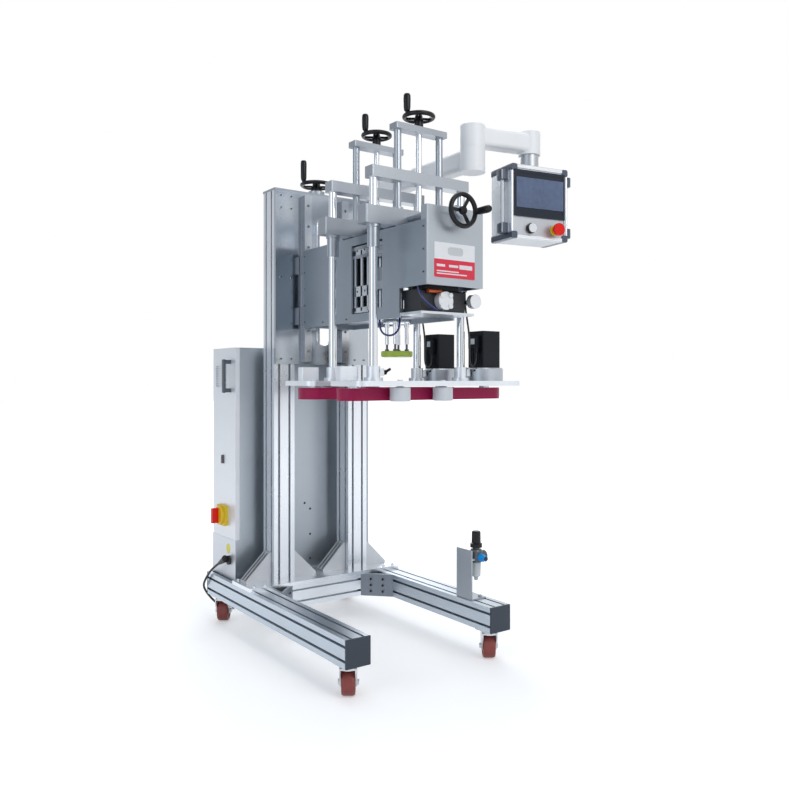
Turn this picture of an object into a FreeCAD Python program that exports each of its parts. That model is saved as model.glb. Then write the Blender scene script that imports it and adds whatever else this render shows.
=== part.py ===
import FreeCAD, Part
import math
import os

# Screw capping machine with side belts, on a castor base of slotted profiles.
# Millimetres. X runs along the bottle line, the front is -Y, +Z is up.
# The origin is on the floor under the capping spindle.

os.makedirs("parts", exist_ok=True)

Vec = FreeCAD.Vector
X_AXIS = Vec(1, 0, 0)
Y_AXIS = Vec(0, 1, 0)
Z_AXIS = Vec(0, 0, 1)

# Clearances
SEAT = 0.3              # between pieces that move past each other
SHAFT = 0.05            # radial, round shaft in its bore

# Slotted profile and base
PROFILE = 80.0
SLOT = 8.0
SLOT_DEEP = 4.5
TEE = 18.0
TEE_DEEP = 7.0
LEG_X = 264.0           # centre line of a leg
LEG_FRONT = -182.0
LEG_REAR = 770.0
CAP_T = 6.0
BEAM_Y = 460.0          # centre line of the cross beam
CORNER = 84.0           # corner bracket leg
CORNER_T = 10.0
BASE_T = 12.0
BASE_FRONT = 408.0
BASE_REAR = 560.0

# Castors
CASTOR_H = 100.0
WHEEL_R = 37.5
WHEEL_W = 38.0
CASTOR_PLATE = 68.0
CASTOR_PLATE_T = 5.0
CASTOR_FRONT_Y = -135.0
CASTOR_REAR_Y = 726.0
TRAIL = 20.0
TRAIL_YAW = -35.5       # degrees, the castors all trail towards the front left
FORK_GAP = 1.5
FORK_T = 4.0
HEAD_R = 24.0           # swivel head
AXLE_R = 5.0

# Mast
PILLAR_X = 151.0
PILLAR_Y = 500.0
PILLAR_H = 1350.0
GUSSET = 96.0
GUSSET_W = 44.0
GUSSET_T = 7.0
BACK_T = 12.0
BACK_H = 601.0          # back plate, down from the pillars' top
SLOT_HALF = 32.0
SLOT_LOW = 68.0         # slot above the back plate's lower edge
SLOT_HIGH = 82.0        # slot below the pillars' top
RAIL_X = 76.0
RAIL_W = 28.0
RAIL_H = 24.0
RAIL_LOW = 9.0          # rails above the back plate's lower edge
RAIL_HIGH = 12.0        # rails below the pillars' top
SCREW_R = 12.5
BRIDGE_T = 8.0

# Head
HEAD_HALF = 103.0       # outside of a side panel
HEAD_T = 6.0
HEAD_FRONT = -280.0
HEAD_REAR = 408.0
HEAD_DROP = 210.0       # head's top below the pillars' top, at rest
HEAD_H = 266.0
HEAD_STEP_H = 84.0      # the underside is higher by this in front of the spindle
HEAD_STEP_Y = -156.0
DECK_T = 18.0
FLOOR_PLATE_RISE = 14.0
FLOOR_PLATE_T = 12.0
WINDOW_FRONT = -70.0
WINDOW_REAR = 101.0
WINDOW_H = 214.0
COVER_RISE = 40.0       # front cover above the head's top
COVER_T = 6.0
BLOCK_WALL = 7.5
BLOCK_H = 60.0
NUT_HALF = 25.0
NUT_RISE = 114.0        # lift nut above the head's underside
NUT_H = 50.0

# Width adjustment
WIDTH_RISE = 28.0       # width screw above the head's top
WIDTH_ROD_X = 50.0
WIDTH_ROD_R = 10.0
WIDTH_SCREW_R = 8.0
REST_BLOCK_Y = 210.0
REST_BLOCK_T = 20.0
WIDTH_WHEEL_Y = -318.0
WIDTH_WHEEL_R = 50.0

# Crossheads and gantries, one for each belt unit
UNIT_Y = 112.5          # centre line of a belt unit
BAR_HALF = 205.0
BAR_DEEP = 48.0
BAR_GAP = 2.0           # crossbar above the head's top
BAR_H = 52.0
COLUMN_X = 164.5
COLUMN_R = 12.5
BUSH_R = 18.0
BUSH_H = 66.0
GANTRY_X = 78.0
GANTRY_R = 11.0
GANTRY_H = 237.0
GANTRY_PLATE_T = 18.0
GANTRY_HALF = 95.0
GANTRY_DEEP = 40.0
HEIGHT_SCREW_R = 9.0
HEIGHT_WHEEL_R = 49.0

# Belt units
BEAM_HALF = 181.0
UNIT_BEAM_DEEP = 42.0
UNIT_BEAM_RISE = 83.0   # beam above the crossbar, at rest
UNIT_BEAM_H = 33.0
COLUMN_LEN = 586.0      # from the belt plate to the beam
PLATE_T = 15.0
PLATE_LEFT = -284.0
PLATE_RIGHT = 328.0
PLATE_INNER = 52.0      # from the line to the plate's inner edge
PLATE_OUTER = 223.0
BELT_R = 48.0
BELT_T = 6.0
BELT_H = 35.0
BELT_GAP = 6.0          # belt below its plate
PULLEY_LEFT = -232.0
PULLEY_RIGHT = 262.0
PULLEY_SHAFT_R = 10.0
ROLLER_R = 29.5
ROLLER_X = (-125.0, 30.0)
ROLLER_SHAFT_R = 8.0
CLAMP_H = 42.0
CLAMP_R = 20.0
GEAR_R = 60.0
GEAR_H = 41.0
MOTOR_W = 73.0
MOTOR_H = 116.0

# Capping tool
TOOL_ROD_X = 60.0
TOOL_ROD_R = 8.0
CARRIAGE_HALF = 82.0
CARRIAGE_DEEP = 64.0
CARRIAGE_RISE = 88.0    # above the head's floor plate
CARRIAGE_H = 50.0
SPINDLE_R = 15.0
FLANGE_R = 45.0
FLANGE_GAP = 7.0        # below the head's floor plate
FLANGE_T = 11.0
STUD_X = 22.0
STUD_R = 3.5
SLEEVE_R = 6.0
SLEEVE_LEN = 66.0
DISC_R = 49.0
DISC_GAP = 21.0         # disc below the sleeves
DISC_T = 18.0
PISTON_R = 6.0
CYL_R = 24.0
CYL_H = 68.0

# Spindle motor, under the front cover
MOTOR_GAP = 7.0         # below the cover's lower edge
MOTOR_DEEP = 80.0
MOTOR_HIGH = 64.0

# Control cabinet
CAB_X = 280.0
CAB_FRONT = 580.0
CAB_REAR = 780.0
CAB_H = 820.0
CAB_T = 2.0
DOOR_RISE = 142.0       # door above the cabinet's floor
DOOR_T = 16.0
HINGE_R = 4.0
SWITCH_Y = 681.0
SWITCH_Z = 400.0

# Operator panel and its arm
ARM_X = 226.0
ARM_Y = 500.0
ELBOW_X = 222.0
ELBOW_Y = -103.0
ARM_GAP = 1.0           # arm above the bridge
ARM_H = 69.0
ARM_W = 60.0
HUB_R = 40.0
PIN_R = 18.0
PANEL_X = 430.0
PANEL_Y = -146.0
PANEL_YAW = -10.0
PANEL_W = 217.0
PANEL_D = 119.0
PANEL_H = 235.0
PANEL_NECK = 49.0       # from the panel to the arm's top
SCREEN_LEFT = -100.0    # pocket of the touch screen, in the panel's frame
SCREEN_RIGHT = 96.0
SCREEN_BOTTOM = 70.0
SCREEN_TOP = 218.0
SCREEN_DEEP = 12.0
SCREEN_PROUD = 4.0
ARM_STEP = 5.0          # second arm above the first

# Filter regulator
REG_X = 268.0
REG_Y = -68.0
REG_TOP = 344.0
REG_BODY_R = 20.0
REG_BRACKET_X = 229.0
PORT_R = 4.05
PORT_DEEP = 14.0

# Cables
CABLE_R = 3.0
MOTOR_ROUTE = [         # x, y from the unit's line, z
    (216.5, -14, 971.6), (216.5, -14, 956), (213.5, -15.5, 942), (204, -20, 931), (191, -26, 926.5),
    (179, -31.5, 932), (171, -35.5, 944), (169, -36.5, 962), (172, -33, 992), (176, -27, 1030),
    (174, -20, 1072), (169.5, -16.6, 1112), (168, -16, 1152), (168.6, -15.9, 1192)]
CLIP_Z = 1192.0
MAINS_R = 4.0
MAINS_ROUTE = [
    (-303, 668, 230), (-310, 712, 205), (-315, 752, 168), (-314, 790, 130), (-296, 812, 100),
    (-270, 825, 68), (-240, 836, 38), (-205, 845, 14), (-165, 851, 4.6), (-122, 855, 4.5),
    (-82, 855.5, 4.5), (-48, 853, 4.5)]
COIL_X = -20.0
COIL_Y = 808.0
COIL_R = 44.0           # middle of the turns
COIL_WIDE = 2           # turns beside each other
COIL_LAYERS = 4
PLUG_R = 17.0
PLUG_ANGLE = 30.0
GLAND_Y = 628.0
GLAND_Z = 246.0

LEG_TOP = CASTOR_H + PROFILE
BASE_TOP = LEG_TOP + BASE_T
PILLAR_TOP = BASE_TOP + PILLAR_H
PILLAR_FRONT = PILLAR_Y - PROFILE / 2
BACK_FRONT = PILLAR_FRONT - BACK_T
RAIL_FRONT = BACK_FRONT - RAIL_H
BACK_BOTTOM = PILLAR_TOP - BACK_H
SLOT_BOTTOM = BACK_BOTTOM + SLOT_LOW
SLOT_TOP = PILLAR_TOP - SLOT_HIGH
RAIL_BOTTOM = BACK_BOTTOM + RAIL_LOW
RAIL_TOP = PILLAR_TOP - RAIL_HIGH
HEAD_TOP = PILLAR_TOP - HEAD_DROP
HEAD_BOTTOM = HEAD_TOP - HEAD_H
HEAD_STEP = HEAD_BOTTOM + HEAD_STEP_H
FLOOR_PLATE_Z = HEAD_BOTTOM + FLOOR_PLATE_RISE
WINDOW_BOTTOM = FLOOR_PLATE_Z + FLOOR_PLATE_T
WINDOW_TOP = WINDOW_BOTTOM + WINDOW_H
COVER_TOP = HEAD_TOP + COVER_RISE
NUT_BOTTOM = HEAD_BOTTOM + NUT_RISE
WIDTH_Z = HEAD_TOP + WIDTH_RISE
BAR_BOTTOM = HEAD_TOP + BAR_GAP
BAR_TOP = BAR_BOTTOM + BAR_H
BUSH_BOTTOM = BAR_BOTTOM - BUSH_H
GANTRY_TOP = BAR_TOP + GANTRY_H
UNIT_BEAM_BOTTOM = BAR_TOP + UNIT_BEAM_RISE
UNIT_BEAM_TOP = UNIT_BEAM_BOTTOM + UNIT_BEAM_H
PLATE_Z = UNIT_BEAM_BOTTOM - COLUMN_LEN - PLATE_T
BELT_TOP = PLATE_Z - BELT_GAP
BELT_BOTTOM = BELT_TOP - BELT_H
CARRIAGE_BOTTOM = FLOOR_PLATE_Z + FLOOR_PLATE_T + CARRIAGE_RISE
FLANGE_Z = FLOOR_PLATE_Z - FLANGE_GAP - FLANGE_T
SLEEVE_BOTTOM = FLANGE_Z - SLEEVE_LEN
DISC_Z = SLEEVE_BOTTOM - DISC_GAP - DISC_T
CYL_TOP = HEAD_TOP - DECK_T
CYL_BOTTOM = CYL_TOP - CYL_H
CAB_TOP = LEG_TOP + CAB_H
DOOR_BOTTOM = LEG_TOP + DOOR_RISE
ARM_BOTTOM = PILLAR_TOP + BRIDGE_T + ARM_GAP
PANEL_BOTTOM = ARM_BOTTOM + ARM_H - PANEL_NECK - PANEL_H


def box(x0, x1, y0, y1, z0, z1):
    """A box between two corners."""
    return Part.makeBox(x1 - x0, y1 - y0, z1 - z0, Vec(x0, y0, z0))


def block(cx, cy, wide, deep, z0, z1):
    """A box centred on a point of the plan."""
    return box(cx - wide / 2, cx + wide / 2, cy - deep / 2, cy + deep / 2, z0, z1)


def rod(r, x, y, z0, z1):
    """An upright round bar."""
    return Part.makeCylinder(r, z1 - z0, Vec(x, y, z0), Z_AXIS)


def rod_y(r, x, z, y0, y1):
    """A round bar along Y."""
    return Part.makeCylinder(r, y1 - y0, Vec(x, y0, z), Y_AXIS)


def rod_x(r, y, z, x0, x1):
    """A round bar along X."""
    return Part.makeCylinder(r, x1 - x0, Vec(x0, y, z), X_AXIS)


def prism(points, along):
    """A polygon of (x, y, z) points, extruded along a vector."""
    face = Part.Face(Part.makePolygon([Vec(*p) for p in points + points[:1]]))
    return face.extrude(Vec(*along))


def turned(points, x, y):
    """A profile of (radius, z) points, turned about the upright axis at x, y."""
    face = Part.Face(Part.makePolygon([Vec(x + r, y, z) for r, z in points + points[:1]]))
    return face.revolve(Vec(x, y, 0), Z_AXIS, 360)


def fuse(shapes):
    """One solid out of several that meet."""
    whole = shapes[0]
    for shape in shapes[1:]:
        whole = whole.fuse(shape)
    return whole.removeSplitter()


def cut(shape, tools):
    """The shape less each tool."""
    for tool in tools:
        shape = shape.cut(tool)
    return shape


def upright_edges(shape, x_side=0, y_side=0):
    """Edges parallel to Z, on one side of the shape where a side is given."""
    mid = shape.BoundBox.Center
    found = []
    for edge in shape.Edges:
        a, b = edge.Vertexes[0].Point, edge.Vertexes[-1].Point
        straight = abs(a.x - b.x) < 1e-6 and abs(a.y - b.y) < 1e-6 and abs(a.z - b.z) > 1e-3
        if straight and (a.x - mid.x) * x_side >= 0 and (a.y - mid.y) * y_side >= 0:
            found.append(edge)
    return found


def turn(shape, angle, x, y):
    """The shape turned about the upright axis at x, y."""
    turned_shape = shape.copy()
    turned_shape.rotate(Vec(x, y, 0), Z_AXIS, angle)
    return turned_shape


def moved(shape, x=0.0, y=0.0, z=0.0):
    """A shifted copy."""
    copy = shape.copy()
    copy.translate(Vec(x, y, z))
    return copy


def mirror_x(shape):
    """The same piece on the other side of the machine's middle plane."""
    return shape.mirror(Vec(0, 0, 0), X_AXIS)


def save(name, shapes):
    """Write one node, as one solid or as a group of separate solids."""
    if not isinstance(shapes, list):
        shapes = [shapes]
    solids = [solid for shape in shapes for solid in shape.Solids]
    whole = solids[0] if len(solids) == 1 else Part.makeCompound(solids)
    whole.exportStep("parts/" + name + ".step")


def bolt(x, y, z, axis, r=4.0, high=3.5):
    """A socket screw's head, with its base at the point."""
    head = Part.makeCylinder(r, high, Vec(x, y, z), axis, 360)
    return head


def profile(length):
    """Slotted profile along +Z from the origin, centred on Z, two tee slots a face."""
    half = PROFILE / 2
    bar = box(-half, half, -half, half, 0, length)
    lip = box(-SLOT / 2, SLOT / 2, half - SLOT_DEEP, half + 1, -1, length + 1)
    tee = box(-TEE / 2, TEE / 2, half - SLOT_DEEP - TEE_DEEP, half - SLOT_DEEP, -1, length + 1)
    slot = lip.fuse(tee)
    tools = []
    for quarter in range(4):
        for side in (-1, 1):
            tool = moved(slot, x=side * PROFILE / 4)
            tools.append(turn(tool, 90 * quarter, 0, 0))
    return cut(bar, tools)


def laid(shape, axis, start):
    """A piece made along +Z, laid along an axis from a start point."""
    place = FreeCAD.Placement(Vec(*start), FreeCAD.Rotation(Z_AXIS, axis))
    copy = shape.copy()
    copy.Placement = place
    return copy


def base_profiles():
    """Two legs and the cross beam between them."""
    leg = laid(profile(LEG_REAR - LEG_FRONT), Y_AXIS, (LEG_X, LEG_FRONT, CASTOR_H + PROFILE / 2))
    inner = LEG_X - PROFILE / 2
    beam = laid(profile(2 * inner), X_AXIS, (-inner, BEAM_Y, CASTOR_H + PROFILE / 2))
    save("base_profiles", [leg, mirror_x(leg), beam])


def leg_end_caps():
    """Moulded caps on the four leg ends."""
    caps = []
    for y0, y1 in ((LEG_FRONT - CAP_T, LEG_FRONT), (LEG_REAR, LEG_REAR + CAP_T)):
        cap = block(LEG_X, (y0 + y1) / 2, PROFILE, y1 - y0, CASTOR_H, LEG_TOP)
        caps += [cap, mirror_x(cap)]
    save("leg_end_caps", caps)


def corner_bracket():
    """A cast three-cornered box that ties a leg to the beam, open above between its walls."""
    x = LEG_X - PROFILE / 2
    y = BEAM_Y - PROFILE / 2
    outline = [(x, y, CASTOR_H), (x - CORNER, y, CASTOR_H), (x, y - CORNER, CASTOR_H)]
    solid = prism(outline, (0, 0, PROFILE))
    inset = CORNER_T
    reach = CORNER - CORNER_T * (2 + math.sqrt(2))
    hollow = prism([(x - inset, y - inset, CASTOR_H + CORNER_T),
                    (x - inset - reach, y - inset, CASTOR_H + CORNER_T),
                    (x - inset, y - inset - reach, CASTOR_H + CORNER_T)], (0, 0, PROFILE))
    shell = solid.cut(hollow)
    face = Vec(-1, -1, 0)
    heads = []
    for along in (0.3, 0.7):
        for z in (CASTOR_H + PROFILE / 4, CASTOR_H + 3 * PROFILE / 4):
            heads.append(bolt(x - CORNER * along + 0.5, y - CORNER * (1 - along) + 0.5, z, face))
    return fuse([shell] + heads)


def gusset(x, side):
    """A ribbed cast angle between the base plate and a pillar's side."""
    y = PILLAR_Y
    foot = box(x, x + side * GUSSET, y - GUSSET_W / 2, y + GUSSET_W / 2, BASE_TOP, BASE_TOP + GUSSET_T) \
        if side > 0 else box(x - GUSSET, x, y - GUSSET_W / 2, y + GUSSET_W / 2, BASE_TOP, BASE_TOP + GUSSET_T)
    x0, x1 = sorted((x, x + side * GUSSET_T))
    wall = box(x0, x1, y - GUSSET_W / 2, y + GUSSET_W / 2, BASE_TOP, BASE_TOP + GUSSET)
    pieces = [foot, wall]
    for rib_y in (y - GUSSET_W / 2, y - GUSSET_T / 2, y + GUSSET_W / 2 - GUSSET_T):
        rib = prism([(x, rib_y, BASE_TOP), (x + side * GUSSET, rib_y, BASE_TOP),
                     (x + side * GUSSET, rib_y, BASE_TOP + GUSSET_T),
                     (x + side * GUSSET_T, rib_y, BASE_TOP + GUSSET), (x, rib_y, BASE_TOP + GUSSET)],
                    (0, GUSSET_T, 0))
        pieces.append(rib)
    return fuse(pieces)


def castor_places():
    """Number, x and y of each castor's swivel axis."""
    places = [(-LEG_X, CASTOR_FRONT_Y), (LEG_X, CASTOR_FRONT_Y),
              (-LEG_X, CASTOR_REAR_Y), (LEG_X, CASTOR_REAR_Y)]
    return [(i + 1, x, y) for i, (x, y) in enumerate(places)]


def base_brackets():
    """Corner castings, mast gussets and the castors' top plates."""
    corner = corner_bracket()
    outer = gusset(PILLAR_X + PROFILE / 2, 1)
    inner = gusset(PILLAR_X - PROFILE / 2, -1)
    pieces = [corner, outer, inner]
    pieces += [mirror_x(piece) for piece in pieces]
    for _, x, y in castor_places():
        plate = block(x, y, CASTOR_PLATE, CASTOR_PLATE, CASTOR_H - CASTOR_PLATE_T, CASTOR_H)
        plate = plate.makeFillet(6, upright_edges(plate))
        pin = rod(AXLE_R, x, y, CASTOR_H - CASTOR_PLATE_T - 12, CASTOR_H - CASTOR_PLATE_T)
        reach = CASTOR_PLATE / 2 - 9
        heads = [bolt(x + i * reach, y + j * reach, CASTOR_H - CASTOR_PLATE_T, Vec(0, 0, -1), 4.5, 3)
                 for i in (-1, 1) for j in (-1, 1)]
        pieces.append(fuse([plate, pin] + heads))
    save("base_brackets", pieces)


def castors():
    """Swivel forks and wheels, all trailing the same way."""
    top = CASTOR_H - CASTOR_PLATE_T - SEAT
    for number, x, y in castor_places():
        head = rod(HEAD_R, x, y, top - 13, top)
        outer = WHEEL_W / 2 + FORK_GAP + FORK_T
        crown = box(x - outer, x + outer, y - HEAD_R * 0.8, y + TRAIL + 14, top - 13, top - 8)
        sides = []
        for side in (-1, 1):
            x0, x1 = sorted((x + side * outer, x + side * (outer - FORK_T)))
            wall = prism([(x0, y - HEAD_R * 0.8, top - 8), (x0, y + TRAIL + 14, top - 8),
                          (x0, y + TRAIL + 13, WHEEL_R - 9), (x0, y + TRAIL - 13, WHEEL_R - 9),
                          (x0, y - HEAD_R * 0.8, top - 22)], (FORK_T, 0, 0))
            nut = rod_x(8, y + TRAIL, WHEEL_R, x1, x1 + 5) if side > 0 else \
                rod_x(8, y + TRAIL, WHEEL_R, x0 - 5, x0)
            sides += [wall, nut]
        axle = rod_x(AXLE_R, y + TRAIL, WHEEL_R, x - outer, x + outer)
        fork = fuse([head, crown, axle] + sides)
        fork = fork.cut(rod(AXLE_R + SHAFT, x, y, top - 12, top + 1))
        arch = rod_x(WHEEL_R + 3, y + TRAIL, WHEEL_R, x - WHEEL_W / 2 - FORK_GAP, x + WHEEL_W / 2 + FORK_GAP)
        fork = fork.cut(arch.cut(rod_x(AXLE_R, y + TRAIL, WHEEL_R, x - outer, x + outer)))
        save("castor_fork_%d" % number, turn(fork, TRAIL_YAW, x, y))
        r = WHEEL_R
        half = WHEEL_W / 2
        bore = AXLE_R + SHAFT
        ring = [(bore, -half), (r * 0.5, -half), (r * 0.56, -half + 4), (r * 0.78, -half + 4),
                (r * 0.84, -half), (r * 0.93, -half), (r, -half + 6), (r, half - 6), (r * 0.93, half),
                (r * 0.84, half), (r * 0.78, half - 4), (r * 0.56, half - 4), (r * 0.5, half), (bore, half)]
        face = Part.Face(Part.makePolygon([Vec(x + u, y + TRAIL, WHEEL_R + v) for v, u in ring + ring[:1]]))
        wheel = face.revolve(Vec(x, y + TRAIL, WHEEL_R), X_AXIS, 360)
        save("castor_wheel_%d" % number, turn(wheel, TRAIL_YAW, x, y))


def base_plate():
    """Steel plate that carries the mast on the legs and the beam."""
    half = LEG_X + PROFILE / 2
    plate = box(-half, half, BASE_FRONT, BASE_REAR, LEG_TOP, BASE_TOP)
    plate = plate.makeFillet(8, upright_edges(plate))
    heads = []
    for side in (-1, 1):
        for x in (LEG_X + PROFILE / 4, LEG_X - PROFILE / 4):
            for y in (BASE_FRONT + 16, BASE_REAR - 16):
                heads.append(bolt(side * x, y, BASE_TOP, Z_AXIS, 6, 5))
    save("base_plate", fuse([plate] + heads))


def pillars():
    """The two upright profiles."""
    pillar = laid(profile(PILLAR_H), Z_AXIS, (PILLAR_X, PILLAR_Y, BASE_TOP))
    save("pillars", [pillar, mirror_x(pillar)])


def back_plate():
    """Polished plate across the pillars, slotted for the lift nut, with the screw's foot bearing."""
    half = PILLAR_X + PROFILE / 2
    plate = box(-half, half, BACK_FRONT, PILLAR_FRONT, BACK_BOTTOM, PILLAR_TOP)
    y0, y1 = BACK_FRONT - 1, PILLAR_FRONT + 1
    slot = box(-SLOT_HALF, SLOT_HALF, y0, y1, SLOT_BOTTOM + SLOT_HALF, SLOT_TOP - SLOT_HALF)
    slot = slot.fuse(rod_y(SLOT_HALF, 0, SLOT_TOP - SLOT_HALF, y0, y1))
    slot = slot.fuse(rod_y(SLOT_HALF, 0, SLOT_BOTTOM + SLOT_HALF, y0, y1))
    plate = plate.cut(slot)
    screws = []
    for side in (-1, 1):
        for x in (PILLAR_X - PROFILE / 4, PILLAR_X + PROFILE / 4):
            for z in (BACK_BOTTOM + 18, (BACK_BOTTOM + PILLAR_TOP) / 2, PILLAR_TOP - 60, PILLAR_TOP - 18):
                screws.append(bolt(side * x, BACK_FRONT, z, Vec(0, -1, 0), 4, 2.5))
    foot = block(0, (PILLAR_FRONT + PILLAR_Y + 26) / 2, 60, PILLAR_Y + 26 - PILLAR_FRONT,
                 BACK_BOTTOM + 19, BACK_BOTTOM + 59)
    foot = foot.cut(rod(SCREW_R + SHAFT, 0, PILLAR_Y, BACK_BOTTOM + 30, BACK_BOTTOM + 80))
    save("back_plate", fuse([plate, foot] + screws))


def lift_rails():
    """Two guide rails with a row of bolt holes each."""
    rails = []
    for side in (-1, 1):
        x = side * RAIL_X
        rail = block(x, (RAIL_FRONT + BACK_FRONT) / 2, RAIL_W, RAIL_H, RAIL_BOTTOM, RAIL_TOP)
        count = 8
        pitch = (RAIL_TOP - RAIL_BOTTOM) / count
        holes = [rod_y(5, x, RAIL_BOTTOM + pitch * (i + 0.5), RAIL_FRONT - 1, RAIL_FRONT + 10)
                 for i in range(count)]
        waist = [box(x - RAIL_W, x - RAIL_W / 2 + 3, RAIL_FRONT + 10, RAIL_FRONT + 16,
                     RAIL_BOTTOM - 1, RAIL_TOP + 1),
                 box(x + RAIL_W / 2 - 3, x + RAIL_W, RAIL_FRONT + 10, RAIL_FRONT + 16,
                     RAIL_BOTTOM - 1, RAIL_TOP + 1)]
        rails.append(cut(rail, holes + waist))
    save("lift_rails", rails)


def top_bridge():
    """Plate over both pillars: bearing of the lift screw and pivot of the panel arm."""
    left = -PILLAR_X - PROFILE / 2
    plate = box(left, ARM_X, PILLAR_Y - 45, PILLAR_Y + 45, PILLAR_TOP, PILLAR_TOP + BRIDGE_T)
    plate = plate.fuse(rod(45, ARM_X, ARM_Y, PILLAR_TOP, PILLAR_TOP + BRIDGE_T))
    housing = rod(30, 0, PILLAR_Y, PILLAR_TOP + BRIDGE_T, PILLAR_TOP + BRIDGE_T + 16)
    pin = rod(PIN_R, ARM_X, ARM_Y, PILLAR_TOP + BRIDGE_T, ARM_BOTTOM + ARM_H - 12)
    heads = [bolt(side * x, PILLAR_Y + y, PILLAR_TOP + BRIDGE_T, Z_AXIS, 6, 5)
             for side in (-1, 1) for x in (PILLAR_X - 20, PILLAR_X + 20) for y in (-20, 20)]
    whole = fuse([plate, housing, pin] + heads)
    bore = rod(SCREW_R + SHAFT, 0, PILLAR_Y, PILLAR_TOP - 1, PILLAR_TOP + BRIDGE_T + 20)
    save("top_bridge", whole.cut(bore))


def handwheel(radius, hub_r, rim_r, shaft_r, handle_len, handle_angle):
    """A dished three-spoke handwheel on +Z, rim centre at the origin, with its turning handle."""
    rim = Part.makeTorus(radius - rim_r, rim_r)
    hub = turned([(0, -14), (hub_r, -14), (hub_r * 0.8, 4), (0, 4)], 0, 0)
    spokes = []
    for i in range(3):
        spoke = prism([(hub_r * 0.4, -5, -9), (hub_r * 0.4, 5, -9), (radius - rim_r, 3.5, -3),
                       (radius - rim_r, -3.5, -3)], (0, 0, 7))
        spokes.append(turn(spoke, 120 * i + 180 + handle_angle, 0, 0))
    grip_r = rim_r * 1.35
    stem = turned([(0, 0), (4, 0), (4, 6), (grip_r * 0.7, 6.5), (grip_r, 14), (grip_r, handle_len - 8),
                   (grip_r * 0.8, handle_len - 2), (0, handle_len)], radius - rim_r, 0)
    wheel = fuse([rim, hub] + spokes + [turn(stem, handle_angle, 0, 0)])
    return wheel


def lift_wheel():
    """Handwheel and threaded lift screw, which turn as one."""
    wheel_z = PILLAR_TOP + BRIDGE_T + 16 + 26
    wheel = moved(handwheel(59, 17, 6.5, SCREW_R, 82, 180), y=PILLAR_Y, z=wheel_z)
    screw = rod(SCREW_R, 0, PILLAR_Y, BACK_BOTTOM + 31, wheel_z - 10)
    collar = rod(20, 0, PILLAR_Y, PILLAR_TOP + BRIDGE_T + 16 + SEAT, wheel_z - 10)
    save("lift_wheel", fuse([wheel, screw, collar]))


def side_panel():
    """Right side panel: stepped below at the front, a window at the spindle, screws at both ends."""
    x0 = HEAD_HALF - HEAD_T
    outline = [(x0, HEAD_FRONT, HEAD_STEP), (x0, HEAD_STEP_Y, HEAD_STEP),
               (x0, HEAD_STEP_Y, HEAD_BOTTOM), (x0, HEAD_REAR, HEAD_BOTTOM),
               (x0, HEAD_REAR, HEAD_TOP), (x0, HEAD_FRONT, HEAD_TOP)]
    panel = prism(outline, (HEAD_T, 0, 0))
    window = box(x0 - 1, x0 + HEAD_T + 1, WINDOW_FRONT, WINDOW_REAR, WINDOW_BOTTOM, WINDOW_TOP)
    panel = panel.cut(window)
    heads = []
    for y, count, z0 in ((HEAD_REAR - 8, 5, HEAD_BOTTOM + 20), (HEAD_FRONT + 10, 3, HEAD_STEP + 36)):
        pitch = (HEAD_TOP - 20 - z0) / (count - 1)
        heads += [bolt(HEAD_HALF, y, z0 + pitch * i, X_AXIS, 3.5, 1.6) for i in range(count)]
    for y in (WINDOW_REAR + 30, HEAD_REAR - 130):
        heads.append(bolt(HEAD_HALF, y, HEAD_BOTTOM + 12, X_AXIS, 3, 1.4))
    return fuse([panel] + heads)


def head_side_panels():
    """Both side panels, mirror images."""
    panel = side_panel()
    save("head_side_panels", [panel, mirror_x(panel)])


def front_cover():
    """Bent front cover, bored for the width screw."""
    cover = box(-HEAD_HALF, HEAD_HALF, HEAD_FRONT - COVER_T, HEAD_FRONT, HEAD_STEP, COVER_TOP)
    cover = cover.makeFillet(3, upright_edges(cover, y_side=-1))
    wing = box(-HEAD_HALF, -HEAD_HALF + 2, HEAD_FRONT, HEAD_FRONT + 22, HEAD_TOP, COVER_TOP)
    cover = fuse([cover, wing, mirror_x(wing)])
    bearing = rod_y(19, 0, WIDTH_Z, HEAD_FRONT - COVER_T - 7, HEAD_FRONT)
    bore = rod_y(WIDTH_SCREW_R + SHAFT, 0, WIDTH_Z, HEAD_FRONT - 40, HEAD_FRONT + 5)
    save("front_cover", fuse([cover, bearing]).cut(bore))


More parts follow.
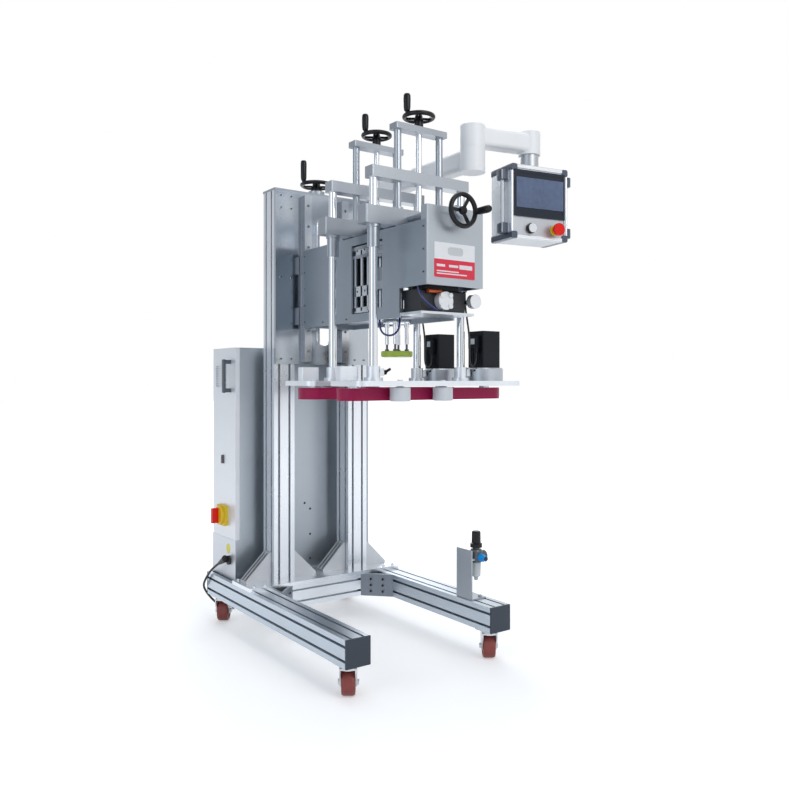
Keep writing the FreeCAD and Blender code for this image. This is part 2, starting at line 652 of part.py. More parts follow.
def head_frame():
    """Saddle, decks, guide rods and nut of the head, as one machined and screwed frame."""
    x = HEAD_HALF - HEAD_T
    saddle = box(-x, x, HEAD_REAR - 12, HEAD_REAR, HEAD_BOTTOM, HEAD_TOP)
    deck = box(-x, x, HEAD_FRONT, HEAD_REAR - 12, HEAD_TOP - DECK_T, HEAD_TOP)
    floor = box(-x, x, HEAD_STEP_Y, HEAD_REAR - 12, FLOOR_PLATE_Z, FLOOR_PLATE_Z + FLOOR_PLATE_T)
    floor = floor.cut(rod(SPINDLE_R + 3, 0, 0, 0, 2000))
    pieces = [saddle, deck, floor]
    gap = SEAT
    for side in (-1, 1):
        wide = RAIL_W + 2 * (gap + BLOCK_WALL)
        for z in (HEAD_BOTTOM + 14, HEAD_TOP - 14 - BLOCK_H):
            runner = block(side * RAIL_X, (HEAD_REAR + BACK_FRONT - 2) / 2, wide,
                           BACK_FRONT - 2 - HEAD_REAR, z, z + BLOCK_H)
            groove = block(side * RAIL_X, (RAIL_FRONT + BACK_FRONT) / 2, RAIL_W + 2 * gap,
                           RAIL_H + 2 * gap, z - 1, z + BLOCK_H + 1)
            tongue_y0, tongue_y1 = RAIL_FRONT + 10 + gap, RAIL_FRONT + 16 - gap
            tongue = block(side * RAIL_X, (tongue_y0 + tongue_y1) / 2, wide,
                           tongue_y1 - tongue_y0, z, z + BLOCK_H)
            tongue = tongue.cut(block(side * RAIL_X, RAIL_FRONT + 13, RAIL_W - 6 + 2 * gap, 40, 0, 2000))
            pieces.append(runner.cut(groove).fuse(tongue))
        pieces.append(rod(TOOL_ROD_R, side * TOOL_ROD_X, 0, FLOOR_PLATE_Z + FLOOR_PLATE_T, HEAD_TOP - DECK_T))
        pieces.append(rod_y(WIDTH_ROD_R, side * WIDTH_ROD_X, WIDTH_Z, HEAD_FRONT,
                            REST_BLOCK_Y - REST_BLOCK_T / 2))
        # window plate with two openings, as seen through each side
        plate = box(*sorted((side * (x - 20), side * (x - 14))), WINDOW_FRONT + 20, WINDOW_REAR - 60,
                    FLOOR_PLATE_Z + FLOOR_PLATE_T, HEAD_TOP - DECK_T)
        for z0, z1 in ((WINDOW_BOTTOM + 14, WINDOW_BOTTOM + 70), (WINDOW_BOTTOM + 95, WINDOW_TOP - 45)):
            plate = plate.cut(box(*sorted((side * (x - 30), side * x)), WINDOW_FRONT + 32,
                                  WINDOW_REAR - 72, z0, z1))
        pieces.append(plate)
        for z in (WINDOW_TOP - 36, WINDOW_TOP - 10):
            bar = box(*sorted((side * (x - 14), side * x)), WINDOW_FRONT - 12, WINDOW_REAR + 12, z - 5, z + 5)
            pieces.append(bar)
    rest = box(-WIDTH_ROD_X - 24, WIDTH_ROD_X + 24, REST_BLOCK_Y - REST_BLOCK_T / 2,
               REST_BLOCK_Y + REST_BLOCK_T / 2, HEAD_TOP, WIDTH_Z + 24)
    pieces.append(rest)
    arm = box(-NUT_HALF, NUT_HALF, HEAD_REAR, PILLAR_Y + 26, NUT_BOTTOM, NUT_BOTTOM + NUT_H)
    pieces.append(arm)
    whole = fuse(pieces)
    whole = whole.cut(rod(SCREW_R + SHAFT, 0, PILLAR_Y, NUT_BOTTOM - 1, NUT_BOTTOM + NUT_H + 1))
    whole = whole.cut(rod_y(WIDTH_SCREW_R + SHAFT, 0, WIDTH_Z, REST_BLOCK_Y - 12, REST_BLOCK_Y + 12))
    save("head_frame", whole)


def air_cylinder():
    """Compact air cylinder that lowers the spindle carriage, hung from the top deck."""
    body = rod(CYL_R, 0, 0, CYL_BOTTOM, CYL_TOP)
    bore = rod(PISTON_R + SHAFT, 0, 0, CYL_BOTTOM - 1, CYL_TOP - 1)
    flange = block(0, 0, 2 * CYL_R + 6, 2 * CYL_R + 6, CYL_TOP - 10, CYL_TOP)
    return fuse([body, flange]).cut(bore)


def spindle_motor():
    """Spindle motor lying under the front cover, its hanger plates, end flange and adjusting knob."""
    y1 = HEAD_STEP_Y - 2
    y0 = y1 - MOTOR_DEEP
    z1 = HEAD_STEP - MOTOR_GAP
    z0 = z1 - MOTOR_HIGH
    motor = box(-88, 74, y0, y1, z0, z1)
    motor = motor.makeFillet(5, [e for e in motor.Edges if abs(e.tangentAt(0).x) > 0.9])
    hanger = box(-60, 60, y0 + 14, y1 - 6, z1, HEAD_TOP - DECK_T)
    tray = box(-102, 92, y0 - 20, HEAD_STEP_Y, z0 - 7, z0)
    nose = rod_y(26, -14, (z0 + z1) / 2, y0 - 22, y0)
    ears = []
    for angle in (45, 135, 225, 315):
        ear = Part.makeCylinder(7, 8, Vec(-14 + 22 * math.cos(math.radians(angle)), y0 - 26,
                                          (z0 + z1) / 2 + 22 * math.sin(math.radians(angle))), Y_AXIS)
        ears.append(ear)
    stem = rod_y(7, 96, (z0 + z1) / 2 + 4, y0 - 6, y1)
    post = box(74, 104, y1 - 22, y1 - 6, z0, z1)
    knob = rod_y(21, 96, (z0 + z1) / 2 + 4, y0 - 24, y0 - 6)
    return fuse([motor, hanger, tray, nose, stem, post, knob] + ears)


def head_drives():
    """The head's two actuators: air cylinder and spindle motor."""
    save("head_drives", [air_cylinder(), spindle_motor()])


def crosshead(name, side):
    """Crossbar on the width rods, with the columns' bushes, the two gantry rods and their top plate."""
    y = side * UNIT_Y
    bar = block(0, y, 2 * BAR_HALF, BAR_DEEP, BAR_BOTTOM, BAR_TOP)
    bar = bar.makeFillet(4, upright_edges(bar))
    pieces = [bar]
    for x_side in (-1, 1):
        x = x_side * COLUMN_X
        pieces.append(rod(BUSH_R, x, y, BUSH_BOTTOM, BAR_BOTTOM))
        pieces.append(rod(BUSH_R + 3, x, y, BAR_BOTTOM - 8, BAR_BOTTOM))
        pieces.append(rod(GANTRY_R, x_side * GANTRY_X, y, BAR_TOP, GANTRY_TOP))
        pieces.append(rod(GANTRY_R + 6, x_side * GANTRY_X, y, BAR_TOP, BAR_TOP + 7))
    plate = block(0, y, 2 * GANTRY_HALF, GANTRY_DEEP, GANTRY_TOP, GANTRY_TOP + GANTRY_PLATE_T)
    pieces.append(plate.makeFillet(3, upright_edges(plate)))
    tools = []
    for x_side in (-1, 1):
        tools.append(rod(COLUMN_R + SHAFT, x_side * COLUMN_X, y, BUSH_BOTTOM - 1, BAR_TOP + 1))
        tools.append(rod_y(WIDTH_ROD_R + SHAFT, x_side * WIDTH_ROD_X, WIDTH_Z, y - BAR_DEEP, y + BAR_DEEP))
    tools.append(rod_y(WIDTH_SCREW_R + SHAFT, 0, WIDTH_Z, y - BAR_DEEP, y + BAR_DEEP))
    tools.append(rod(HEIGHT_SCREW_R + SHAFT, 0, y, GANTRY_TOP - 1, GANTRY_TOP + GANTRY_PLATE_T + 1))
    save(name, cut(fuse(pieces), tools))


def height_wheel(name, side):
    """Handwheel and screw that set the height of one belt unit."""
    y = side * UNIT_Y
    wheel_z = GANTRY_TOP + GANTRY_PLATE_T + 34
    wheel = moved(handwheel(HEIGHT_WHEEL_R, 14, 5.5, HEIGHT_SCREW_R, 62, 180), y=y, z=wheel_z)
    screw = rod(HEIGHT_SCREW_R, 0, y, BAR_TOP + SEAT, wheel_z - 10)
    collar = rod(14, 0, y, GANTRY_TOP + GANTRY_PLATE_T + SEAT, wheel_z - 10)
    save(name, fuse([wheel, screw, collar]))


def width_wheel():
    """Handwheel and left and right hand screw that set the distance between the belt units."""
    wheel = handwheel(WIDTH_WHEEL_R, 14, 5.5, WIDTH_SCREW_R, 62, 0)
    wheel.rotate(Vec(0, 0, 0), X_AXIS, 90)
    wheel = moved(wheel, y=WIDTH_WHEEL_Y, z=WIDTH_Z)
    screw = rod_y(WIDTH_SCREW_R, 0, WIDTH_Z, WIDTH_WHEEL_Y + 5, REST_BLOCK_Y + REST_BLOCK_T / 2)
    save("width_wheel", fuse([wheel, screw]))


def column_clamp(x, y):
    """Clamping foot that holds a column on the belt plate."""
    top = PLATE_Z + PLATE_T + CLAMP_H
    body = rod(CLAMP_R, x, y, PLATE_Z + PLATE_T, top)
    foot = rod(CLAMP_R + 8, x, y, PLATE_Z + PLATE_T, PLATE_Z + PLATE_T + 10)
    ear = box(x + CLAMP_R - 6, x + CLAMP_R + 12, y - 9, y + 9, top - 28, top - 6)
    return [body, foot, ear]


def unit_frame(name, side):
    """Beam, two columns, clamps, belt plate and tension block of one belt unit."""
    y = side * UNIT_Y
    beam = block(0, y, 2 * BEAM_HALF, UNIT_BEAM_DEEP, UNIT_BEAM_BOTTOM, UNIT_BEAM_TOP)
    beam = beam.makeFillet(3, upright_edges(beam))
    y0, y1 = sorted((side * PLATE_INNER, side * PLATE_OUTER))
    plate = box(PLATE_LEFT, PLATE_RIGHT, y0, y1, PLATE_Z, PLATE_Z + PLATE_T)
    plate = plate.makeFillet(30, upright_edges(plate))
    pieces = [beam, plate]
    for x_side in (-1, 1):
        x = x_side * COLUMN_X
        pieces.append(rod(COLUMN_R, x, y, PLATE_Z + PLATE_T, UNIT_BEAM_BOTTOM))
        pieces += column_clamp(x, y)
    clip = rod(COLUMN_R + 9, COLUMN_X, y, CLIP_Z, CLIP_Z + 12)
    pieces.append(clip)
    tension = box(-258, -198, y + 26, y + 54, PLATE_Z + PLATE_T, PLATE_Z + PLATE_T + 42)
    pieces.append(tension.makeFillet(4, upright_edges(tension)))
    whole = fuse(pieces)
    tools = [rod(HEIGHT_SCREW_R + SEAT, 0, y, UNIT_BEAM_BOTTOM - 1, UNIT_BEAM_TOP + 1)]
    for x_side in (-1, 1):
        tools.append(rod(GANTRY_R + SHAFT, x_side * GANTRY_X, y, UNIT_BEAM_BOTTOM - 1, UNIT_BEAM_TOP + 1))
    for x in (PULLEY_LEFT, PULLEY_RIGHT):
        tools.append(rod(PULLEY_SHAFT_R + SHAFT, x, y, PLATE_Z - 1, PLATE_Z + PLATE_T + 1))
    for x in ROLLER_X:
        tools.append(rod(ROLLER_SHAFT_R + SHAFT, x, roller_y(side), PLATE_Z - 1, PLATE_Z + PLATE_T + 1))
    save(name, cut(whole, tools))


def roller_y(side):
    """Line of the guide rollers that press on the belt's outer run."""
    return side * (UNIT_Y + BELT_R + ROLLER_R + SEAT)


def loop(r, z0, z1, y):
    """A stadium round both pulleys."""
    ends = [rod(r, x, y, z0, z1) for x in (PULLEY_LEFT, PULLEY_RIGHT)]
    return fuse([box(PULLEY_LEFT, PULLEY_RIGHT, y - r, y + r, z0, z1)] + ends)


def belt(name, side):
    """Closed gripping belt of one unit."""
    y = side * UNIT_Y
    outer = loop(BELT_R, BELT_BOTTOM, BELT_TOP, y)
    save(name, outer.cut(loop(BELT_R - BELT_T, BELT_BOTTOM - 1, BELT_TOP + 1, y)))


def pulley(name, x, side, shaft_top):
    """Crowned and flanged pulley with its shaft, which turns in the belt plate."""
    y = side * UNIT_Y
    r = BELT_R - BELT_T - SEAT
    top = PLATE_Z - 1.0
    outline = [(0, BELT_BOTTOM + 1), (r, BELT_BOTTOM + 1), (r, BELT_TOP), (PULLEY_SHAFT_R + 6, BELT_TOP),
               (PULLEY_SHAFT_R + 6, top), (PULLEY_SHAFT_R, top), (PULLEY_SHAFT_R, shaft_top), (0, shaft_top)]
    save(name, turned(outline, x, y))


def roller(name, x, side):
    """Plain guide roller with its pin."""
    y = roller_y(side)
    r = ROLLER_R
    outline = [(0, BELT_BOTTOM - 2), (r - 2, BELT_BOTTOM - 2), (r, BELT_BOTTOM), (r, BELT_TOP + 1),
               (r - 2, BELT_TOP + 3), (ROLLER_SHAFT_R + 4, BELT_TOP + 3), (ROLLER_SHAFT_R + 4, PLATE_Z - 1),
               (ROLLER_SHAFT_R, PLATE_Z - 1), (ROLLER_SHAFT_R, PLATE_Z + PLATE_T + 3), (0, PLATE_Z + PLATE_T + 3)]
    save(name, turned(outline, x, y))


def drive_motor(name, side):
    """Black motor on its round gear housing, with the terminal box on the left."""
    y = side * UNIT_Y
    x = PULLEY_RIGHT
    z = PLATE_Z + PLATE_T
    housing = turned([(0, z), (GEAR_R, z), (GEAR_R, z + GEAR_H - 4), (GEAR_R - 4, z + GEAR_H), (0, z + GEAR_H)],
                     x, y)
    housing = housing.cut(rod(PULLEY_SHAFT_R + SHAFT, x, y, z - 1, z + 22))
    case = block(x, y, MOTOR_W, MOTOR_W, z + GEAR_H, z + GEAR_H + MOTOR_H)
    case = case.makeFillet(5, upright_edges(case))
    grooves = [block(x, y + i * 9, MOTOR_W + 4, 3, z + GEAR_H + 12, z + GEAR_H + MOTOR_H - 12)
               for i in (-2, -1, 0, 1, 2)]
    core = block(x, y, MOTOR_W - 4, MOTOR_W - 4, 0, 2000)
    case = cut(case, [groove.cut(core) for groove in grooves])
    terminal = box(x - MOTOR_W / 2 - 16, x - MOTOR_W / 2 + 1, y - 20, y + 16, z + GEAR_H + 62, z + GEAR_H + 100)
    plug = rod(7, MOTOR_ROUTE[0][0], y + MOTOR_ROUTE[0][1], z + GEAR_H + 48, z + GEAR_H + 64)
    save(name, fuse([housing, case, terminal, plug]))


def route_tube(points, r):
    """A round tube of straight runs joined by tangent arcs, and the radius of each arc."""
    corners = [Vec(*p) for p in points]
    edges = []
    radii = []
    last = corners[0]
    for before, corner, after in zip(corners, corners[1:], corners[2:]):
        back = (before - corner).normalize()
        ahead = (after - corner).normalize()
        turn_half = (math.pi - back.getAngle(ahead)) / 2
        tangent = 0.45 * min((before - corner).Length, (after - corner).Length)
        radius = tangent / math.tan(turn_half)
        enter = corner + back * tangent
        leave = corner + ahead * tangent
        middle = (back + ahead).normalize()
        peak = corner + middle * (radius / math.cos(turn_half) - radius)
        edges.append(Part.makeLine(last, enter))
        edges.append(Part.Arc(enter, peak, leave).toShape())
        radii.append(round(radius, 1))
        last = leave
    edges.append(Part.makeLine(last, corners[-1]))
    path = Part.Wire(edges)
    start = (corners[1] - corners[0]).normalize()
    section = Part.Wire(Part.makeCircle(r, corners[0], start))
    tube = path.makePipeShell([section], True, True)
    print("tube of radius", r, "length", round(path.Length), "arcs", radii,
          "volume ratio", round(tube.Volume / (math.pi * r * r * path.Length), 4))
    return tube


def motor_cable(name, side):
    """Motor lead: down out of the plug, round in a slack loop, and up the column to its clip."""
    y = side * UNIT_Y
    save(name, route_tube([(px, y + py, pz) for px, py, pz in MOTOR_ROUTE], CABLE_R))


def cap_carriage():
    """Sliding block on the two tool rods, with the piston rod above it."""
    block_top = CARRIAGE_BOTTOM + CARRIAGE_H
    body = block(0, 0, 2 * CARRIAGE_HALF - 20, CARRIAGE_DEEP, CARRIAGE_BOTTOM, block_top)
    body = body.makeFillet(4, upright_edges(body))
    piston = rod(PISTON_R, 0, 0, block_top, CYL_TOP - 2)
    whole = fuse([body, piston])
    tools = [rod(TOOL_ROD_R + SHAFT, side * TOOL_ROD_X, 0, 0, 2000) for side in (-1, 1)]
    tools.append(rod(SPINDLE_R + SHAFT, 0, 0, CARRIAGE_BOTTOM - 1, CARRIAGE_BOTTOM + 40))
    save("cap_carriage", cut(whole, tools))


def stud_places():
    """Plan of the four sprung studs."""
    return [(i * STUD_X, j * STUD_X) for i in (-1, 1) for j in (-1, 1)]


def cap_spindle():
    """Spindle with its driving flange and four spring sleeves."""
    shaft = rod(SPINDLE_R, 0, 0, FLANGE_Z, CARRIAGE_BOTTOM + 38)
    flange = turned([(0, FLANGE_Z), (FLANGE_R - 3, FLANGE_Z), (FLANGE_R, FLANGE_Z + 3),
                     (FLANGE_R, FLANGE_Z + FLANGE_T), (0, FLANGE_Z + FLANGE_T)], 0, 0)
    sleeves = [rod(SLEEVE_R, x, y, SLEEVE_BOTTOM, FLANGE_Z) for x, y in stud_places()]
    collars = [rod(SLEEVE_R + 2, x, y, FLANGE_Z - 14, FLANGE_Z) for x, y in stud_places()]
    bores = [rod(STUD_R + SHAFT, x, y, SLEEVE_BOTTOM - 1, FLANGE_Z - 1) for x, y in stud_places()]
    save("cap_spindle", cut(fuse([shaft, flange] + sleeves + collars), bores))


def cap_disc():
    """Friction disc that turns the caps, on its four studs."""
    z1 = DISC_Z + DISC_T
    disc = turned([(0, DISC_Z), (DISC_R - 4, DISC_Z), (DISC_R, DISC_Z + 3), (DISC_R, z1 - 2),
                   (DISC_R - 2, z1), (0, z1)], 0, 0)
    studs = []
    for x, y in stud_places():
        studs.append(rod(STUD_R, x, y, z1, FLANGE_Z - 16))
        studs.append(rod(STUD_R + 3, x, y, z1, z1 + 6))
    save("cap_disc", fuse([disc] + studs))


def cabinet_shell():
    """Folded sheet cabinet, open on its left side above the gland strip, with louvred rear."""
    x0 = -CAB_X + DOOR_T + SEAT
    outer = box(x0, CAB_X, CAB_FRONT, CAB_REAR, LEG_TOP, CAB_TOP)
    inner = box(x0 - 1, CAB_X - CAB_T, CAB_FRONT + CAB_T, CAB_REAR - CAB_T, LEG_TOP + CAB_T, CAB_TOP - CAB_T)
    shell = outer.cut(inner)
    strip = box(-CAB_X, x0 + CAB_T, CAB_FRONT, CAB_REAR, LEG_TOP, DOOR_BOTTOM - SEAT * 2)
    lip = 14.0
    frame = box(x0, x0 + CAB_T, CAB_FRONT, CAB_REAR, LEG_TOP, CAB_TOP)
    frame = frame.cut(box(x0 - 1, x0 + CAB_T + 1, CAB_FRONT + lip, CAB_REAR - lip, DOOR_BOTTOM + lip, CAB_TOP - lip))
    rail = box(x0 + 20, CAB_X - 20, CAB_REAR - CAB_T - 6, CAB_REAR - CAB_T, LEG_TOP + 60, CAB_TOP - 60)
    exit_point = Vec(*MAINS_ROUTE[0])
    ahead = (Vec(*MAINS_ROUTE[1]) - exit_point).normalize()
    gland = Part.makeCone(13, MAINS_R + 1.5, 46, exit_point - ahead * 46, ahead)
    gland = gland.cut(box(-CAB_X + 1, 0, 0, 1000, 0, 400))
    nut = rod_x(16, GLAND_Y, GLAND_Z, -CAB_X - 8, -CAB_X)
    pin = rod(HINGE_R, -CAB_X + DOOR_T / 2, CAB_REAR - DOOR_T / 2, DOOR_BOTTOM - SEAT * 2, DOOR_BOTTOM + 40)
    save("cabinet_shell", fuse([shell, strip, frame, rail, gland, nut, pin]))


def cabinet_door():
    """Door with its pull handle, fan grille, lock and switch plate."""
    x1 = -CAB_X + DOOR_T
    door = box(-CAB_X, x1, CAB_FRONT, CAB_REAR, DOOR_BOTTOM, CAB_TOP)
    door = door.makeFillet(DOOR_T / 2 - 0.02, upright_edges(door, y_side=1))
    door = door.cut(rod(HINGE_R + SHAFT, -CAB_X + DOOR_T / 2, CAB_REAR - DOOR_T / 2,
                        DOOR_BOTTOM - 1, DOOR_BOTTOM + 41))
    louvres = [box(-CAB_X - 1, -CAB_X + 4, 664, 744, z, z + 4) for z in range(862, 936, 9)]
    door = cut(door, louvres)
    grille = box(-CAB_X - 3, -CAB_X, 658, 750, 854, 942)
    grille = grille.cut(box(-CAB_X - 4, -CAB_X, 664, 744, 860, 936))
    feet = [box(-CAB_X - 24, -CAB_X, 616, 630, z, z + 14) for z in (842, 943)]
    bar = box(-CAB_X - 30, -CAB_X - 20, 615, 631, 840, 959)
    bar = bar.makeFillet(3, bar.Edges)
    lock = box(-CAB_X - 5, -CAB_X, 680, 694, 585, 615)
    plate = box(-CAB_X - 12, -CAB_X, SWITCH_Y - 36, SWITCH_Y + 36, SWITCH_Z - 36, SWITCH_Z + 36)
    plate = plate.makeFillet(6, [e for e in plate.Edges if abs(e.tangentAt(0).x) > 0.9])
    stud = rod_x(6, SWITCH_Y, SWITCH_Z, -CAB_X - 20, -CAB_X - 12)
    save("cabinet_door", fuse([door, grille, bar, lock, plate, stud] + feet))


def main_switch():
    """Rotary handle of the main switch."""
    x1 = -CAB_X - 12 - SEAT
    disc = rod_x(30, SWITCH_Y, SWITCH_Z, x1 - 10, x1)
    grip = box(x1 - 34, x1 - 10, SWITCH_Y - 7, SWITCH_Y + 7, SWITCH_Z - 27, SWITCH_Z + 27)
    grip = grip.makeFillet(4, [e for e in grip.Edges if abs(e.tangentAt(0).x) > 0.9])
    handle = fuse([disc, grip]).cut(rod_x(6 + SHAFT, SWITCH_Y, SWITCH_Z, -CAB_X - 20.5, -CAB_X))
    save("main_switch", handle)


def arm_hub(x, y, z0, z1, bore_top):
    """A round joint housing."""
    hub = rod(HUB_R, x, y, z0, z1)
    hub = hub.makeFillet(5, [e for e in hub.Edges if e.Length > 2 * HUB_R * 3 and e.BoundBox.ZMin > z1 - 1])
    return hub.cut(rod(PIN_R + SHAFT, x, y, z0 - 1, bore_top))


def arm_tube(xa, ya, xb, yb, z0, z1, wide):
    """A straight tube between two hub axes, rounded above and below."""
    length = math.hypot(xb - xa, yb - ya)
    angle = math.degrees(math.atan2(yb - ya, xb - xa))
    tube = box(0, length, -wide / 2, wide / 2, z0, z1)
    long_edges = [e for e in tube.Edges if abs(e.tangentAt(0).x) > 0.9]
    tube = tube.makeFillet(14, long_edges)
    tube.rotate(Vec(0, 0, 0), Z_AXIS, angle)
    return moved(tube, xa, ya)


def arm_first():
    """First arm, from the mast to the elbow."""
    top = ARM_BOTTOM + ARM_H
    tube = arm_tube(ARM_X, ARM_Y, ELBOW_X, ELBOW_Y, ARM_BOTTOM + 2, top - 2, ARM_W)
    tube = cut(tube, [rod(HUB_R - 2, x, y, ARM_BOTTOM, top) for x, y in ((ARM_X, ARM_Y), (ELBOW_X, ELBOW_Y))])
    base = arm_hub(ARM_X, ARM_Y, ARM_BOTTOM, top, top - 10)
    elbow = rod(HUB_R, ELBOW_X, ELBOW_Y, ARM_BOTTOM - 8, top)
    pin = rod(PIN_R, ELBOW_X, ELBOW_Y, top, top + 44)
    save("arm_first", fuse([tube, base, elbow, pin]))


def arm_second():
    """Second arm, from the elbow to the panel coupling."""
    z0 = ARM_BOTTOM + ARM_H + SEAT
    z1 = z0 + ARM_H + ARM_STEP
    tube = arm_tube(ELBOW_X, ELBOW_Y, PANEL_X, PANEL_Y, z0 + 6, z1 - 6, ARM_W)
    tube = cut(tube, [rod(HUB_R - 2, ELBOW_X, ELBOW_Y, z0, z1), rod(HUB_R - 6, PANEL_X, PANEL_Y, z0, z1)])
    elbow = arm_hub(ELBOW_X, ELBOW_Y, z0, z1, z0 + 50)
    end = rod(HUB_R - 4, PANEL_X, PANEL_Y, z0, z1)
    end = end.cut(rod(PIN_R + SHAFT, PANEL_X, PANEL_Y, z0 - 1, z0 + 50))
    save("arm_second", fuse([tube, elbow, end]))


def in_panel(shape):
    """A piece modelled in the panel's own frame, put in its place on the arm."""
    copy = moved(shape, PANEL_X, PANEL_Y, PANEL_BOTTOM)
    return turn(copy, PANEL_YAW, PANEL_X, PANEL_Y)


def panel_box():
    """Frame profiles, corner pieces, side handles and coupling of the operator panel."""
    w, d, h = PANEL_W / 2, PANEL_D / 2, PANEL_H
    case = box(-w, w, -d, d, 0, h)
    case = case.makeFillet(7, upright_edges(case))
    face = box(-w + 14, w - 14, -d - 1, -d + 2, 12, h - 12)
    case = case.cut(face)
    holes = [rod_y(9 + SHAFT, x, 34, -d - 5, -d + 30) for x in (-36, 56)]
    pocket = box(SCREEN_LEFT, SCREEN_RIGHT, -d - 1, -d + SCREEN_DEEP, SCREEN_BOTTOM, SCREEN_TOP)
    case = cut(case, holes + [pocket])
    pieces = [case]
    for side in (-1, 1):
        for z in (18, h - 48):
            pieces.append(box(*sorted((side * w, side * (w + 26))), -d + 16, -d + 46, z, z + 30))
        pieces.append(rod(7, side * (w + 15), -d + 31, 40, h - 40))
    z_top = ARM_BOTTOM + ARM_H + SEAT + 40 - PANEL_BOTTOM
    neck = rod(30, 0, 0, h, ARM_BOTTOM + ARM_H - PANEL_BOTTOM)
    pin = rod(PIN_R, 0, 0, h, z_top)
    save("panel_box", in_panel(fuse(pieces + [neck, pin])))


def panel_screen():
    """Touch screen module, set into the panel's front."""
    d = PANEL_D / 2
    left, right = SCREEN_LEFT + SEAT, SCREEN_RIGHT - SEAT
    bottom, top = SCREEN_BOTTOM + SEAT, SCREEN_TOP - SEAT
    module = box(left, right, -d - SCREEN_PROUD, -d + SCREEN_DEEP - SEAT, bottom, top)
    glass = box(left + 9.7, right - 9.7, -d - SCREEN_PROUD - 1, -d - SCREEN_PROUD + 1, bottom + 13.7, top - 9.7)
    save("panel_screen", in_panel(module.cut(glass)))


def panel_buttons():
    """Emergency stop and push button, each on its stem."""
    d = PANEL_D / 2
    stop = fuse([rod_y(9, 56, 34, -d - 12, -d + 16), rod_y(13, 56, 34, -d - 20, -d - 12),
                 rod_y(20, 56, 34, -d - 30, -d - 20)])
    save("e_stop", in_panel(stop))
    push = fuse([rod_y(9, -36, 34, -d - 10, -d + 12), rod_y(14, -36, 34, -d - 14, -d - 10)])
    save("push_button", in_panel(push))


def regulator():
    """Filter regulator on its bracket, on top of the right leg."""
    x0, x1 = REG_BRACKET_X, REG_BRACKET_X + 4
    plate = box(x0, x1, REG_Y - 22, REG_Y + 52, LEG_TOP, REG_TOP - 4)
    foot = box(x0, x0 + 62, REG_Y - 22, REG_Y + 52, LEG_TOP, LEG_TOP + 4)
    shelf = box(x1, REG_X - REG_BODY_R + 4, REG_Y - 12, REG_Y + 12, REG_TOP - 40, REG_TOP - 34)
    heads = [bolt(x0 + 48, y, LEG_TOP + 4, Z_AXIS, 6, 6) for y in (REG_Y - 8, REG_Y + 38)]
    bracket = fuse([plate, foot, shelf] + heads)
    bracket = bracket.cut(rod(REG_BODY_R, REG_X, REG_Y, REG_TOP - 80, REG_TOP))
    save("regulator_bracket", bracket)
    zt = REG_TOP
    r = REG_BODY_R
    body = turned([(0, zt - 106), (6, zt - 106), (7, zt - 98), (r - 6, zt - 92), (r - 4, zt - 48), (r, zt - 46),
                   (r, zt - 12), (r - 3, zt - 6), (11, zt - 6), (11, zt), (0, zt)], REG_X, REG_Y)
    port = rod_y(9, REG_X, zt - 30, REG_Y - 46, REG_Y)
    nut = rod_y(12, REG_X, zt - 30, REG_Y - 34, REG_Y - 20)
    outlet = rod_y(9, REG_X, zt - 30, REG_Y, REG_Y + 34)
    gauge = rod_x(17, REG_Y, zt - 30, REG_X, REG_X + 34)
    whole = fuse([body, port, nut, outlet, gauge])
    hole = rod_y(PORT_R, REG_X, zt - 30, REG_Y - 47, REG_Y - 46 + PORT_DEEP)
    save("regulator_body", whole.cut(hole))
    z0 = zt + SEAT
    knob = turned([(0, z0), (19.5, z0), (19.5, z0 + 12), (15, z0 + 14), (14.5, z0 + 49), (12, z0 + 52), (0, z0 + 52)],
                  REG_X, REG_Y)
    save("regulator_knob", knob)


def mains():
    """Mains cord from the gland down behind the left leg, its put-away coil and its plug."""
    save("mains_cord", route_tube(MAINS_ROUTE, MAINS_R))
    half = COIL_WIDE * (MAINS_R + 0.1)
    top = SEAT + COIL_LAYERS * 2 * (MAINS_R + 0.1)
    ring = Part.makeCylinder(COIL_R + half, top - SEAT, Vec(COIL_X, COIL_Y, SEAT), Z_AXIS)
    ring = ring.cut(Part.makeCylinder(COIL_R - half, top, Vec(COIL_X, COIL_Y, 0), Z_AXIS))
    save("mains_coil", ring)
    z = top + SEAT + PLUG_R
    body = [(0, 0), (MAINS_R + 2, 0), (PLUG_R - 5, 26), (PLUG_R, 30), (PLUG_R, 52), (PLUG_R - 3, 55), (0, 55)]
    plug = turned(body, 0, 0)
    pins = [rod(2.4, side * 9.5, 0, 55, 74) for side in (-1, 1)]
    plug = fuse([plug] + pins)
    angle = math.radians(PLUG_ANGLE)
    axis = Vec(math.sin(angle), -math.cos(angle), 0)
    start = (COIL_X + COIL_R * math.cos(angle), COIL_Y + COIL_R * math.sin(angle), z)
    save("mains_plug", laid(plug, axis, start))


base_profiles()
leg_end_caps()
base_brackets()
castors()
base_plate()
pillars()
back_plate()
lift_rails()
top_bridge()
lift_wheel()
head_side_panels()
front_cover()
head_frame()
head_drives()
width_wheel()
for place, sign in (("front", -1), ("rear", 1)):
    crosshead("crosshead_" + place, sign)
    height_wheel("height_wheel_" + place, sign)
    unit_frame("unit_frame_" + place, sign)
    belt("belt_" + place, sign)
    pulley("idler_pulley_" + place, PULLEY_LEFT, sign, PLATE_Z + PLATE_T + 2)
    pulley("drive_pulley_" + place, PULLEY_RIGHT, sign, PLATE_Z + PLATE_T + 21)
    for index, roller_x in enumerate(ROLLER_X):
        roller("guide_roller_%s_%d" % (place, index + 1), roller_x, sign)
    drive_motor("drive_motor_" + place, sign)
    motor_cable("motor_cable_" + place, sign)
cap_carriage()
cap_spindle()
cap_disc()
cabinet_shell()
cabinet_door()
main_switch()
arm_first()
arm_second()
panel_box()
panel_screen()
panel_buttons()
regulator()
mains()
